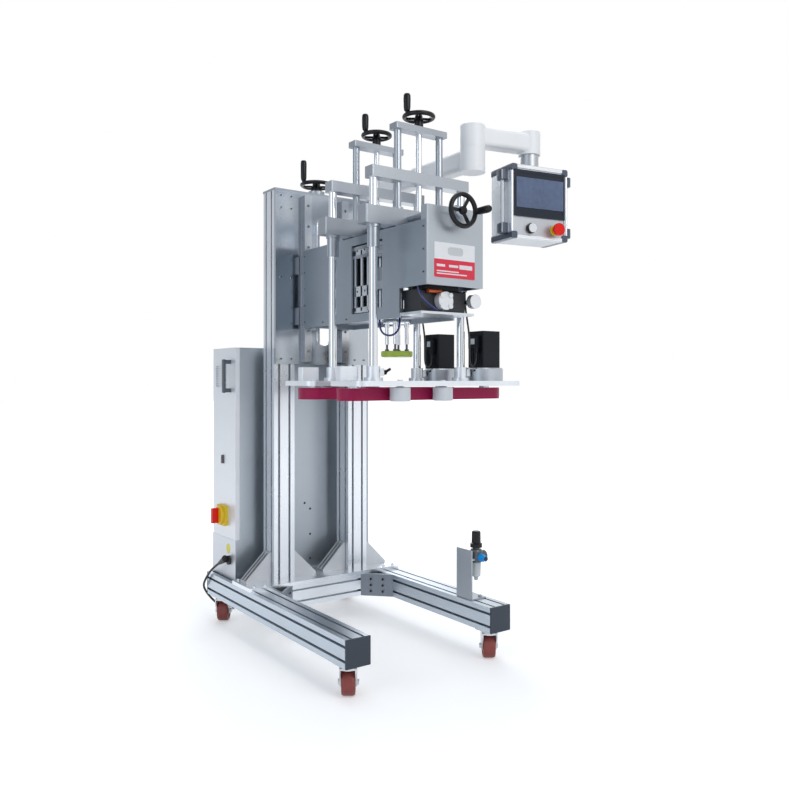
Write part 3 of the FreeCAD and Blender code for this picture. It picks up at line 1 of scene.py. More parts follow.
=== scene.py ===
"""Dresses the screw capping machine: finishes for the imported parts, and small pieces that are made here.

Lengths are millimetres in the machine's own frame until a mesh is written, which is in metres.
"""
import logging
import math
from dataclasses import dataclass, field, replace
from enum import Enum
from typing import Iterable, Sequence

import bpy
import numpy as np
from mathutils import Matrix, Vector


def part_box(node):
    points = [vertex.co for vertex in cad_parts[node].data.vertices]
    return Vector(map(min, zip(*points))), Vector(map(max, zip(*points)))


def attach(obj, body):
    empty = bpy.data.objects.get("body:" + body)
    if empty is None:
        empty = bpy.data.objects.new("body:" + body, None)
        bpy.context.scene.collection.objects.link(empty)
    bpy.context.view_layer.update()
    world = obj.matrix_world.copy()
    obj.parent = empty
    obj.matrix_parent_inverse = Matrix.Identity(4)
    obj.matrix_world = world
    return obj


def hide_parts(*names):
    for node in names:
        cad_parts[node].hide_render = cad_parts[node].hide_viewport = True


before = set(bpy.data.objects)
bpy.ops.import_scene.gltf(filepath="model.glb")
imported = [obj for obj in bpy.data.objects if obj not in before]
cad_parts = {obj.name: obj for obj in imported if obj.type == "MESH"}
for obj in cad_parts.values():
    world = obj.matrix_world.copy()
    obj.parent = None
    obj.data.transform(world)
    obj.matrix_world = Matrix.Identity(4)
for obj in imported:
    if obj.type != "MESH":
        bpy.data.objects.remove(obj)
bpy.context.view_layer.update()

Array = np.ndarray
Colour = tuple[float, float, float]
Point = tuple[float, float, float]

MM = 0.001
UNIT_LINE = 112.5  # from the spindle's axis to each belt unit's centre line
SMOOTH_DEGREES = 35.0  # edges turning by less than this are shaded smooth
HAZE_ROUGHNESS = 0.14  # how far roughness drifts from the haze's darkest to its lightest
METAL_BUMP, DULL_BUMP = 0.1, 0.35  # strength of the grain's bump on metal and on anything else
PLACES = (("front", -1), ("rear", 1))  # the belt units, with the side of the spindle that they are on
LOG = logging.getLogger("capping_machine")


class Axis(Enum):
    """The machine's axes."""

    X = 0
    Y = 1
    Z = 2


class Pattern(Enum):
    """How a finish is worked: which way its fine grain runs."""

    ALONG_X = (0.03, 1.0, 1.0)
    ALONG_Y = (1.0, 0.03, 1.0)
    ALONG_Z = (1.0, 1.0, 0.03)
    EVEN = (1.0, 1.0, 1.0)


# Shared shader node groups


def new_group(name: str, inputs: Sequence[tuple[str, str, object]], outputs: Sequence[tuple[str, str]]
              ) -> bpy.types.ShaderNodeTree:
    """An empty shader group with its sockets.

    Args:
        name: name of the group.
        inputs: socket name, socket type and default of each input.
        outputs: socket name and socket type of each output.

    Returns:
        The group, holding one input node and one output node.
    """
    group = bpy.data.node_groups.new(name, "ShaderNodeTree")
    for title, kind, default in inputs:
        socket = group.interface.new_socket(title, in_out="INPUT", socket_type=kind)
        if default is not None:
            socket.default_value = default
    for title, kind in outputs:
        group.interface.new_socket(title, in_out="OUTPUT", socket_type=kind)
    group.nodes.new("NodeGroupInput")
    group.nodes.new("NodeGroupOutput")
    return group


def math_node(tree: bpy.types.NodeTree, operation: str, *operands: object) -> bpy.types.NodeSocket:
    """A math node fed by sockets or numbers.

    Args:
        tree: tree that gets the node.
        operation: Blender's name of the operation.
        operands: as many sockets or numbers as the operation takes.

    Returns:
        The node's output socket.
    """
    node = tree.nodes.new("ShaderNodeMath")
    node.operation = operation
    for socket, value in zip(node.inputs, operands):
        if isinstance(value, bpy.types.NodeSocket):
            tree.links.new(value, socket)
        else:
            socket.default_value = value
    return node.outputs[0]


def ramp(tree: bpy.types.NodeTree, value: bpy.types.NodeSocket, source: tuple[float, float],
         target: tuple[float, float], smooth: bool = False) -> bpy.types.NodeSocket:
    """A value carried from one span to another, and held at the ends.

    Args:
        tree: tree that gets the node.
        value: the value's socket.
        source: low and high end of the span that it comes from.
        target: what these two ends become.
        smooth: whether it eases in and out.

    Returns:
        The node's output socket.
    """
    node = tree.nodes.new("ShaderNodeMapRange")
    if smooth:
        node.interpolation_type = "SMOOTHSTEP"
    for title, number in zip(("From Min", "From Max", "To Min", "To Max"), (*source, *target)):
        node.inputs[title].default_value = number
    tree.links.new(value, node.inputs["Value"])
    return node.outputs["Result"]


def grain_group() -> bpy.types.ShaderNodeTree:
    """Grain: noise stretched along one axis, as brushing, drawing or moulding leaves it.

    Returns:
        A group with Vector, Stretch, Scale and Haze Scale inputs, and Grain and Haze outputs from 0 to 1.
    """
    group = new_group("surface grain",
                      [("Vector", "NodeSocketVector", None),
                       ("Stretch", "NodeSocketVector", (1.0, 1.0, 1.0)),
                       ("Scale", "NodeSocketFloat", 400.0),
                       ("Haze Scale", "NodeSocketFloat", 6.0)],
                      [("Grain", "NodeSocketFloat"), ("Haze", "NodeSocketFloat")])
    nodes, links = group.nodes, group.links
    source, sink = nodes["Group Input"], nodes["Group Output"]
    stretch = nodes.new("ShaderNodeVectorMath")
    stretch.operation = "MULTIPLY"
    links.new(source.outputs["Vector"], stretch.inputs[0])
    links.new(source.outputs["Stretch"], stretch.inputs[1])
    fine = nodes.new("ShaderNodeTexNoise")
    fine.inputs["Detail"].default_value = 3.0
    fine.inputs["Roughness"].default_value = 0.65
    links.new(stretch.outputs[0], fine.inputs["Vector"])
    links.new(source.outputs["Scale"], fine.inputs["Scale"])
    broad = nodes.new("ShaderNodeTexNoise")
    broad.inputs["Detail"].default_value = 2.0
    links.new(source.outputs["Vector"], broad.inputs["Vector"])
    links.new(source.outputs["Haze Scale"], broad.inputs["Scale"])
    links.new(fine.outputs[0], sink.inputs["Grain"])
    links.new(broad.outputs[0], sink.inputs["Haze"])
    return group


def region_group() -> bpy.types.ShaderNodeTree:
    """Region: 1 inside the box from Low to High, 0 outside it.

    The mask is the least of the six distances to the walls, tested against zero.

    Returns:
        A group with Vector, Low and High inputs and a Mask output.
    """
    group = new_group("inside a region",
                      [("Vector", "NodeSocketVector", None), ("Low", "NodeSocketVector", (0.0, 0.0, 0.0)),
                       ("High", "NodeSocketVector", (1.0, 1.0, 1.0))],
                      [("Mask", "NodeSocketFloat")])
    nodes, links = group.nodes, group.links
    source, sink = nodes["Group Input"], nodes["Group Output"]
    parts = []
    for first, second in (("Vector", "Low"), ("High", "Vector")):
        gap = nodes.new("ShaderNodeVectorMath")
        gap.operation = "SUBTRACT"
        links.new(source.outputs[first], gap.inputs[0])
        links.new(source.outputs[second], gap.inputs[1])
        parts.append(gap.outputs[0])
    least = nodes.new("ShaderNodeVectorMath")
    least.operation = "MINIMUM"
    links.new(parts[0], least.inputs[0])
    links.new(parts[1], least.inputs[1])
    split = nodes.new("ShaderNodeSeparateXYZ")
    links.new(least.outputs[0], split.inputs[0])
    low = math_node(group, "MINIMUM", split.outputs[0], split.outputs[1])
    low = math_node(group, "MINIMUM", low, split.outputs[2])
    links.new(math_node(group, "GREATER_THAN", low, 0.0), sink.inputs["Mask"])
    return group


GRAIN = grain_group()
REGION = region_group()


@dataclass(frozen=True)
class Patch:
    """A part of a piece with a finish of its own: a box in millimetres, with what fills it."""

    low: Point
    high: Point
    colour: Colour
    roughness: float = 0.4
    metallic: float = 0.0


@dataclass(frozen=True)
class Finish:
    """One finish of the machine, as a Principled surface with grain and haze."""

    name: str
    colour: Colour
    roughness: float = 0.4
    metallic: float = 0.0
    pattern: Pattern = Pattern.EVEN
    grain_scale: float = 900.0
    grain_depth: float = 0.03
    tone: float = 0.06
    haze_scale: float = 7.0
    coat: float = 0.0
    specular: float = 0.5
    patches: tuple[Patch, ...] = ()

    def build(self) -> bpy.types.Material:
        """Makes the material.

        Returns:
            The material, with colour and roughness that drift with the haze and a bump from the grain.
        """
        material = bpy.data.materials.new(self.name)
        material.use_nodes = True
        tree = material.node_tree
        shader = tree.nodes["Principled BSDF"]
        coordinates = tree.nodes.new("ShaderNodeTexCoord")
        worked = tree.nodes.new("ShaderNodeGroup")
        worked.node_tree = GRAIN
        tree.links.new(coordinates.outputs["Object"], worked.inputs["Vector"])
        worked.inputs["Stretch"].default_value = self.pattern.value
        worked.inputs["Scale"].default_value = self.grain_scale
        worked.inputs["Haze Scale"].default_value = self.haze_scale
        colour = self._tone(tree, worked)
        roughness = math_node(tree, "MULTIPLY_ADD", worked.outputs["Haze"], HAZE_ROUGHNESS,
                              self.roughness - HAZE_ROUGHNESS / 2)
        metallic: bpy.types.NodeSocket | float = self.metallic
        for patch in self.patches:
            mask = self._mask(tree, coordinates.outputs["Object"], patch)
            colour = self._mix(tree, "RGBA", mask, colour, (*patch.colour, 1.0))
            roughness = self._mix(tree, "FLOAT", mask, roughness, patch.roughness)
            if patch.metallic != self.metallic:
                metallic = self._mix(tree, "FLOAT", mask, metallic, patch.metallic)
        tree.links.new(colour, shader.inputs["Base Color"])
        tree.links.new(roughness, shader.inputs["Roughness"])
        if isinstance(metallic, bpy.types.NodeSocket):
            tree.links.new(metallic, shader.inputs["Metallic"])
        else:
            shader.inputs["Metallic"].default_value = metallic
        shader.inputs["Coat Weight"].default_value = self.coat
        shader.inputs["Specular IOR Level"].default_value = self.specular
        bump = tree.nodes.new("ShaderNodeBump")
        bump.inputs["Strength"].default_value = METAL_BUMP if self.metallic > 0.5 else DULL_BUMP
        bump.inputs["Distance"].default_value = self.grain_depth * MM
        tree.links.new(worked.outputs["Grain"], bump.inputs["Height"])
        tree.links.new(bump.outputs["Normal"], shader.inputs["Normal"])
        return material

    def _tone(self, tree: bpy.types.NodeTree, worked: bpy.types.Node) -> bpy.types.NodeSocket:
        """The base colour, lighter and darker by the tone as grain and haze add up.

        Args:
            tree: the material's tree.
            worked: the grain group's node.

        Returns:
            The colour socket.
        """
        drift = math_node(tree, "ADD", worked.outputs["Grain"], worked.outputs["Haze"])
        scale = ramp(tree, drift, (0.6, 1.4), (1.0 - self.tone, 1.0 + self.tone))
        tint = tree.nodes.new("ShaderNodeVectorMath")
        tint.operation = "SCALE"
        tint.inputs[0].default_value = self.colour
        tree.links.new(scale, tint.inputs["Scale"])
        return tint.outputs[0]

    @staticmethod
    def _mask(tree: bpy.types.NodeTree, where: bpy.types.NodeSocket, patch: Patch) -> bpy.types.NodeSocket:
        """The region group, set to a patch's box, in metres.

        Args:
            tree: the material's tree.
            where: the object coordinates.
            patch: the patch.

        Returns:
            The mask socket.
        """
        node = tree.nodes.new("ShaderNodeGroup")
        node.node_tree = REGION
        tree.links.new(where, node.inputs["Vector"])
        node.inputs["Low"].default_value = tuple(v * MM for v in patch.low)
        node.inputs["High"].default_value = tuple(v * MM for v in patch.high)
        return node.outputs["Mask"]

    @staticmethod
    def _mix(tree: bpy.types.NodeTree, kind: str, mask: bpy.types.NodeSocket, a: object, b: object
             ) -> bpy.types.NodeSocket:
        """A mix node of colours or of values.

        Args:
            tree: the material's tree.
            kind: RGBA or FLOAT.
            mask: 0 for a, 1 for b.
            a: what lies outside the patch, a socket or a value.
            b: what lies inside it.

        Returns:
            The mixed socket.
        """
        node = tree.nodes.new("ShaderNodeMix")
        node.data_type = kind
        sockets = [s for s in node.inputs if s.enabled]
        tree.links.new(mask, sockets[0])
        for socket, value in zip(sockets[-2:], (a, b)):
            if isinstance(value, bpy.types.NodeSocket):
                tree.links.new(value, socket)
            else:
                socket.default_value = value
        return [s for s in node.outputs if s.enabled][0]


# Meshes from numpy


@dataclass
class Shape:
    """Points in millimetres, with quads and end caps."""

    points: Array
    quads: Array
    caps: list[list[int]] = field(default_factory=list)

    @classmethod
    def merged(cls, shapes: Sequence["Shape"]) -> "Shape":
        """Several shapes as one.

        Args:
            shapes: the shapes, in order.

        Returns:
            A shape that holds them all.
        """
        starts = np.cumsum([0] + [len(shape.points) for shape in shapes]).tolist()
        quads = [shape.quads + start for shape, start in zip(shapes, starts)]
        caps = [[i + start for i in cap] for shape, start in zip(shapes, starts) for cap in shape.caps]
        return cls(np.vstack([shape.points for shape in shapes]), np.vstack(quads), caps)

    def moved(self, offset: Point) -> "Shape":
        """The shape, shifted by an offset in millimetres."""
        return Shape(self.points + np.array(offset), self.quads, self.caps)

    def mirrored(self, axis: Axis, at: float) -> "Shape":
        """The mirror image across the plane square to an axis, with the faces still pointing outwards.

        Args:
            axis: the axis.
            at: where the plane stands on it.

        Returns:
            The mirrored shape.
        """
        points = self.points.copy()
        points[:, axis.value] = 2.0 * at - points[:, axis.value]
        return Shape(points, self.quads[:, ::-1], [cap[::-1] for cap in self.caps])

    def turned(self, degrees: float, about: tuple[float, float]) -> "Shape":
        """The shape, turned about an upright axis.

        Args:
            degrees: the angle, from +X to +Y.
            about: x and y of the axis.

        Returns:
            The turned shape.
        """
        angle = math.radians(degrees)
        c, s = math.cos(angle), math.sin(angle)
        turn = np.array([[c, s, 0.0], [-s, c, 0.0], [0.0, 0.0, 1.0]])
        centre = np.array([*about, 0.0])
        return Shape((self.points - centre) @ turn + centre, self.quads, self.caps)


def lattice(rows: int, columns: int, close_rows: bool = False) -> Array:
    """Quads of a grid whose columns close on themselves.

    Args:
        rows: number of rows of points.
        columns: points in a row.
        close_rows: whether the last row joins the first.

    Returns:
        Indices, four for each quad.
    """
    last = rows if close_rows else rows - 1
    row, column = np.meshgrid(np.arange(last), np.arange(columns), indexing="ij")
    ahead, beside = (row + 1) % rows, (column + 1) % columns
    quads = np.stack([row * columns + column, row * columns + beside,
                      ahead * columns + beside, ahead * columns + column], axis=-1)
    return quads.reshape(-1, 4)


def loft(sections: Array) -> Shape:
    """Closed sections of equal count, joined in order and capped at both ends.

    Args:
        sections: array of sections by points by 3.

    Returns:
        The closed shape.
    """
    rows, columns = sections.shape[:2]
    end = (rows - 1) * columns
    caps = [list(range(columns))[::-1], [end + i for i in range(columns)]]
    return Shape(sections.reshape(-1, 3), lattice(rows, columns), caps)


def frame_of(axis: Axis) -> Array:
    """Rows are the two cross directions and the axis itself, right handed."""
    order = {Axis.X: (1, 2, 0), Axis.Y: (2, 0, 1), Axis.Z: (0, 1, 2)}[axis]
    return np.eye(3)[list(order)]


def lathe(profile: Sequence[tuple[float, float]], centre: Point, axis: Axis = Axis.Z, steps: int = 48
          ) -> Shape:
    """A turned piece: point (r, h) goes to centre + r cos t u + r sin t v + h w, for t round the circle.

    Args:
        profile: radius and height, from the bottom to the top.
        centre: a point on the axis, at height nought.
        axis: the axis.
        steps: points round the circle.

    Returns:
        The closed shape.
    """
    u, v, w = frame_of(axis)
    angle = np.linspace(0.0, 2.0 * np.pi, steps, endpoint=False)
    ring = np.cos(angle)[:, None] * u + np.sin(angle)[:, None] * v
    values = np.array(profile, float)
    sections = values[:, 0, None, None] * ring + values[:, 1, None, None] * w + np.array(centre)
    return loft(sections)


def hoop(radius: float, thick: float, centre: Point, axis: Axis = Axis.Z, steps: int = 56) -> Shape:
    """A ring of round section: r = radius + thick cos a and h = thick sin a, turned about the axis.

    Args:
        radius: radius of the ring's centre line.
        thick: radius of its section.
        centre: middle of the ring.
        axis: its axis.
        steps: points round the ring.

    Returns:
        The closed shape.
    """
    u, v, w = frame_of(axis)
    section = np.linspace(0.0, 2.0 * np.pi, 14, endpoint=False)[:, None]
    angle = np.linspace(0.0, 2.0 * np.pi, steps, endpoint=False)[None, :]
    out = (radius + thick * np.cos(section))[..., None]
    ring = np.cos(angle)[..., None] * u + np.sin(angle)[..., None] * v
    points = out * ring + thick * np.sin(section)[..., None] * w + np.array(centre)
    return Shape(points.reshape(-1, 3), lattice(len(section), steps, True))


def rounded_outline(wide: float, high: float, corner: float, steps: int = 5) -> Array:
    """A rectangle with round corners: each corner is a quarter circle of its own centre.

    Args:
        wide: full width.
        high: full height.
        corner: corner radius.
        steps: points in a corner.

    Returns:
        Points by 2, going round once.
    """
    quarter = np.linspace(0.0, np.pi / 2.0, steps)
    turns = np.arange(4)[:, None] * np.pi / 2.0 + quarter
    signs = np.array([[1, 1], [-1, 1], [-1, -1], [1, -1]], float)
    middle = signs * (np.array([wide, high]) / 2.0 - corner)
    arc = np.stack([np.cos(turns), np.sin(turns)], axis=-1) * corner
    return (middle[:, None, :] + arc).reshape(-1, 2)


def slab(low: Point, high: Point, axis: Axis = Axis.Z, corner: float = 2.0, bevel: float = 0.6) -> Shape:
    """A plate or block between two corners, round at its upright edges and bevelled at its faces.

    The outline is lofted through four levels: inset, full, full, inset.

    Args:
        low: lowest corner.
        high: highest corner.
        axis: direction of the thickness.
        corner: radius of the corners.
        bevel: width of the bevel.

    Returns:
        The closed shape.
    """
    a, b = np.array(low, float), np.array(high, float)
    u, v, w = frame_of(axis)
    size, middle = b - a, (a + b) / 2.0
    wide, high_, deep = float(size @ u), float(size @ v), float(size @ w)
    full = rounded_outline(wide, high_, corner)
    inset = rounded_outline(wide - 2 * bevel, high_ - 2 * bevel, max(corner - bevel, 0.05))
    levels = [(inset, -deep / 2), (full, -deep / 2 + bevel), (full, deep / 2 - bevel), (inset, deep / 2)]
    sections = np.stack([line[:, :1] * u + line[:, 1:] * v + level * w for line, level in levels])
    return loft(sections + middle)


def tube(path: Array, radius: float, steps: int = 14) -> Shape:
    """A round tube along a line: each section is a circle square to the line there.

    Args:
        path: points by 3, in millimetres.
        radius: tube radius.
        steps: points round it.

    Returns:
        The closed shape.
    """
    ahead = np.gradient(path, axis=0)
    ahead /= np.linalg.norm(ahead, axis=1, keepdims=True)
    guide = np.array([0.31, 0.17, 0.93]) if abs(ahead[:, 2]).mean() < 0.8 else np.array([0.93, 0.31, 0.1])
    side = np.cross(ahead, guide)
    side /= np.linalg.norm(side, axis=1, keepdims=True)
    up = np.cross(side, ahead)
    angle = np.linspace(0.0, 2.0 * np.pi, steps, endpoint=False)
    ring = np.cos(angle)[None, :, None] * side[:, None, :] - np.sin(angle)[None, :, None] * up[:, None, :]
    return loft(path[:, None, :] + radius * ring)


def curve_through(points: Sequence[Point], count: int) -> Array:
    """A smooth line near chosen points: a quadratic B-spline sampled evenly.

    Each stretch runs between the middles of two spans, by (1-t)^2 a + 2t(1-t) b + t^2 c.

    Args:
        points: the points that draw it.
        count: samples for each stretch.

    Returns:
        Points by 3.
    """
    p = np.array(points, float)
    start = np.vstack([p[:1], (p[1:-2] + p[2:-1]) / 2.0])
    end = np.vstack([(p[1:-2] + p[2:-1]) / 2.0, p[-1:]])
    t = np.linspace(0.0, 1.0, count, endpoint=False)[None, :, None]
    line = (1 - t) ** 2 * start[:, None] + 2 * t * (1 - t) * p[1:-1][:, None] + t ** 2 * end[:, None]
    return np.vstack([line.reshape(-1, 3), p[-1:]])


# Finishes

SILVER: Colour = (0.60, 0.64, 0.69)
BRIGHT: Colour = (0.74, 0.77, 0.81)

# Each row gives name, colour, roughness, metallic, pattern, grain scale, grain depth in mm and tone.
FINISHES: dict[str, Finish] = {
    finish.name: finish for finish in (
        Finish("anodised profile", (0.53, 0.59, 0.655), 0.30, 0.85, Pattern.ALONG_Y, 1400.0, 0.02, 0.05),
        # painted highlight: the pillars' copy of the anodised profile is lighter, for the light on their
        # front faces
        Finish("anodised mast painted lighter", (0.74, 0.77, 0.81), 0.28, 0.85, Pattern.ALONG_Z, 1400.0, 0.02, 0.05),
        Finish("slate cap", (0.026, 0.038, 0.058), 0.5, 0.0, Pattern.EVEN, 1500.0, 0.05, 0.08),
        Finish("cast casting", (0.55, 0.57, 0.60), 0.42, 0.75, Pattern.EVEN, 700.0, 0.12, 0.10),
        Finish("plated base", (0.80, 0.83, 0.87), 0.26, 0.9, Pattern.ALONG_X, 900.0, 0.03, 0.08),
        Finish("polished plate", (0.46, 0.50, 0.55), 0.15, 1.0, Pattern.ALONG_Z, 700.0, 0.01, 0.05),
        Finish("ground rail", (0.58, 0.61, 0.65), 0.2, 1.0, Pattern.ALONG_Z, 900.0, 0.01, 0.05),
        Finish("head sheet", (0.30, 0.345, 0.395), 0.36, 0.8, Pattern.ALONG_Y, 1100.0, 0.03, 0.06),
        Finish("cover sheet", (0.40, 0.435, 0.475), 0.38, 0.75, Pattern.ALONG_X, 1100.0, 0.03, 0.05),
        Finish("cabinet sheet", (0.40, 0.44, 0.48), 0.34, 0.85, Pattern.ALONG_Z, 1100.0, 0.03, 0.06),
        Finish("machined aluminium", (0.36, 0.39, 0.43), 0.30, 0.85, Pattern.ALONG_X, 1000.0, 0.02, 0.06),
        Finish("belt plate", (0.70, 0.73, 0.77), 0.30, 0.8, Pattern.ALONG_X, 1000.0, 0.02, 0.06),
        Finish("chromed bar", (0.72, 0.74, 0.78), 0.12, 1.0, Pattern.ALONG_Z, 900.0, 0.005, 0.03),
        Finish("wheel enamel", (0.004, 0.005, 0.007), 0.30, 0.0, Pattern.EVEN, 800.0, 0.03, 0.15,
               coat=0.08, specular=0.22),
        Finish("motor paint", (0.004, 0.006, 0.010), 0.42, 0.0, Pattern.EVEN, 900.0, 0.05, 0.15,
               specular=0.2),
        Finish("crimson belt", (0.33, 0.004, 0.062), 0.42, 0.0, Pattern.ALONG_X, 500.0, 0.05, 0.14,
               specular=0.3),
        Finish("white nylon", (0.66, 0.68, 0.71), 0.42, 0.0, Pattern.EVEN, 900.0, 0.02, 0.03),
        Finish("lime pad", (0.42, 0.55, 0.06), 0.38, 0.0, Pattern.EVEN, 900.0, 0.05, 0.10),
        Finish("castor tread", (0.27, 0.055, 0.045), 0.44, 0.0, Pattern.EVEN, 900.0, 0.05, 0.12),
        Finish("zinc fork", (0.62, 0.63, 0.65), 0.3, 1.0, Pattern.EVEN, 600.0, 0.05, 0.08),
        Finish("white powder coat", (0.90, 0.905, 0.91), 0.42, 0.0, Pattern.EVEN, 1300.0, 0.05, 0.02),
        Finish("screen bezel", (0.009, 0.015, 0.027), 0.40, 0.0, Pattern.EVEN, 900.0, 0.01, 0.05,
               specular=0.25),
        Finish("screen display", (0.11, 0.145, 0.235), 0.42, 0.0, Pattern.EVEN, 60.0, 0.0, 0.22,
               haze_scale=9.0, specular=0.25),
        Finish("signal red", (0.80, 0.014, 0.006), 0.36, 0.0, Pattern.EVEN, 900.0, 0.02, 0.05,
               specular=0.25),
        Finish("button white", (0.85, 0.85, 0.86), 0.34, 0.0, Pattern.EVEN, 900.0, 0.02, 0.03),
        Finish("switch yellow", (0.82, 0.56, 0.01), 0.36, 0.0, Pattern.EVEN, 900.0, 0.02, 0.05, coat=0.2),
        Finish("tube blue", (0.01, 0.02, 0.16), 0.3, 0.0, Pattern.EVEN, 700.0, 0.02, 0.06, coat=0.3),
        Finish("bronze clamp", (0.50, 0.10, 0.025), 0.34, 0.4, Pattern.EVEN, 700.0, 0.03, 0.12),
        Finish("cable sheath", (0.012, 0.012, 0.013), 0.5, 0.0, Pattern.EVEN, 1500.0, 0.04, 0.15),
        # painted shade: near black stands in for the shade inside screw sockets; the same finish colours the
        # dark screw heads
        Finish("dark screws and painted socket shade", (0.006, 0.006, 0.007), 0.7, 0.0),
        Finish("dial face", (0.02, 0.03, 0.035), 0.2, 0.0, Pattern.EVEN, 500.0, 0.0, 0.1, coat=0.8),
    )
}


class Store:
    """Builds each finish once."""

    def __init__(self) -> None:
        """Starts with no material built."""
        self.built: dict[str, bpy.types.Material] = {}

    def get(self, finish: str | Finish) -> bpy.types.Material:
        """The material of a finish.

        Args:
            finish: its name, or a finish of its own.

        Returns:
            The material, built at the first call.
        """
        chosen = FINISHES[finish] if isinstance(finish, str) else finish
        if chosen.name not in self.built:
            self.built[chosen.name] = chosen.build()
        return self.built[chosen.name]

    def dress(self, finish: str | Finish, *nodes: str) -> None:
        """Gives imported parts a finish.

        Args:
            finish: the finish.
            nodes: the parts' names.
        """
        material = self.get(finish)
        for name in nodes:
            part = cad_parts[name]
            if not part.material_slots:
                part.data.materials.append(material)
            for slot in part.material_slots:
                slot.material = material
            LOG.info("part %s in %s", name, material.name)


STORE = Store()


def write(name: str, shape: Shape, finish: str | Finish, body: str) -> None:
    """Makes a piece of the machine from a shape, with its object at the origin.

    Args:
        name: name of the piece.
        shape: its points, in millimetres.
        finish: its finish, or the finish's name.
        body: the body that it moves with.
    """
    mesh = bpy.data.meshes.new(name)
    mesh.from_pydata((shape.points * MM).tolist(), [], shape.quads.tolist() + shape.caps)
    mesh.validate()
    mesh.materials.append(STORE.get(finish))
    mesh.shade_smooth()
    mesh.set_sharp_from_angle(angle=math.radians(SMOOTH_DEGREES))
    piece = bpy.data.objects.new(name, mesh)
    bpy.context.scene.collection.objects.link(piece)
    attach(piece, body)
    LOG.info("piece %s on %s", name, body)


def span(node: str) -> tuple[Array, Array]:
    """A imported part's lowest and highest corner, in millimetres."""
    low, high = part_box(node)
    return np.array(low) / MM, np.array(high) / MM


def variant(finish: str, name: str, *patches: Patch) -> Finish:
    """A finish of the table with patches.

    Args:
        finish: its name in the table.
        name: name of the new finish.
        patches: the patches, a later one over an earlier one.

    Returns:
        The new finish.
    """
    return replace(FINISHES[finish], name=name, patches=patches)


def steel_screw(name: str, low: Point, high: Point) -> Finish:
    """Black wheel enamel with the screw, inside a box, in bright steel.

    Args:
        name: name of the finish.
        low: lowest corner of the screw's box, in millimetres.
        high: its highest corner.

    Returns:
        The finish.
    """
    return variant("wheel enamel", name, Patch(low, high, BRIGHT, 0.18, 1.0))


def plane_grid(axis: Axis, at: float, first: Sequence[float], second: Sequence[float]) -> Array:
    """Every pairing of two lists of coordinates, on a plane square to an axis.

    Args:
        axis: the axis.
        at: where the plane stands on it.
        first: values along the first of the two other axes.
        second: values along the second.

    Returns:
        Points by 3.
    """
    columns = [grid.ravel() for grid in np.meshgrid(first, second)]
    columns.insert(axis.value, np.full(len(columns[0]), at))
    return np.column_stack(columns)


def hexagon_recesses(centres: Array, axis: Axis, radius: float, deep: float) -> Shape:
    """Six-sided sockets of screw heads as dark prisms, painted shade of their hollows, one short prism for
    each centre.

    Args:
        centres: points by 3, where each prism starts.
        axis: the screws' axis.
        radius: radius of the socket.
        deep: length of the prism along the axis.

    Returns:
        All prisms as one shape.
    """
    outline = [(radius, 0.0), (radius, deep)]
    return Shape.merged([lathe(outline, tuple(centre), axis, 6) for centre in centres])


@dataclass
class Handwheel:
    """The plastic sheath of a handwheel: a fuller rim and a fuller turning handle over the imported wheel."""

    name: str
    body: str
    centre: Point
    rim: float
    length: float
    axis: Axis = Axis.Z
    thick: float = 7.0

    def sheath(self) -> None:
        """Makes the rim and the handle's sleeve, whose profile is radius and height from foot to tip."""
        reach = self.length
        profile = [(6.0, 8.5), (9.0, 11.0), (10.4, 20.0), (11.0, reach - 14), (10.4, reach - 5),
                   (8.0, reach - 1.2), (4.0, reach - 0.3)]
        x, y, z = self.centre
        if self.axis is Axis.Z:
            sleeve = lathe(profile, (x - self.rim, y, z), Axis.Z, 32)
        else:
            sleeve = lathe([(r, -h) for r, h in reversed(profile)], (x + self.rim, y, z), self.axis, 32)
        rim = hoop(self.rim, self.thick, self.centre, self.axis)
        write(self.name, Shape.merged([rim, sleeve]), "wheel enamel", self.body)


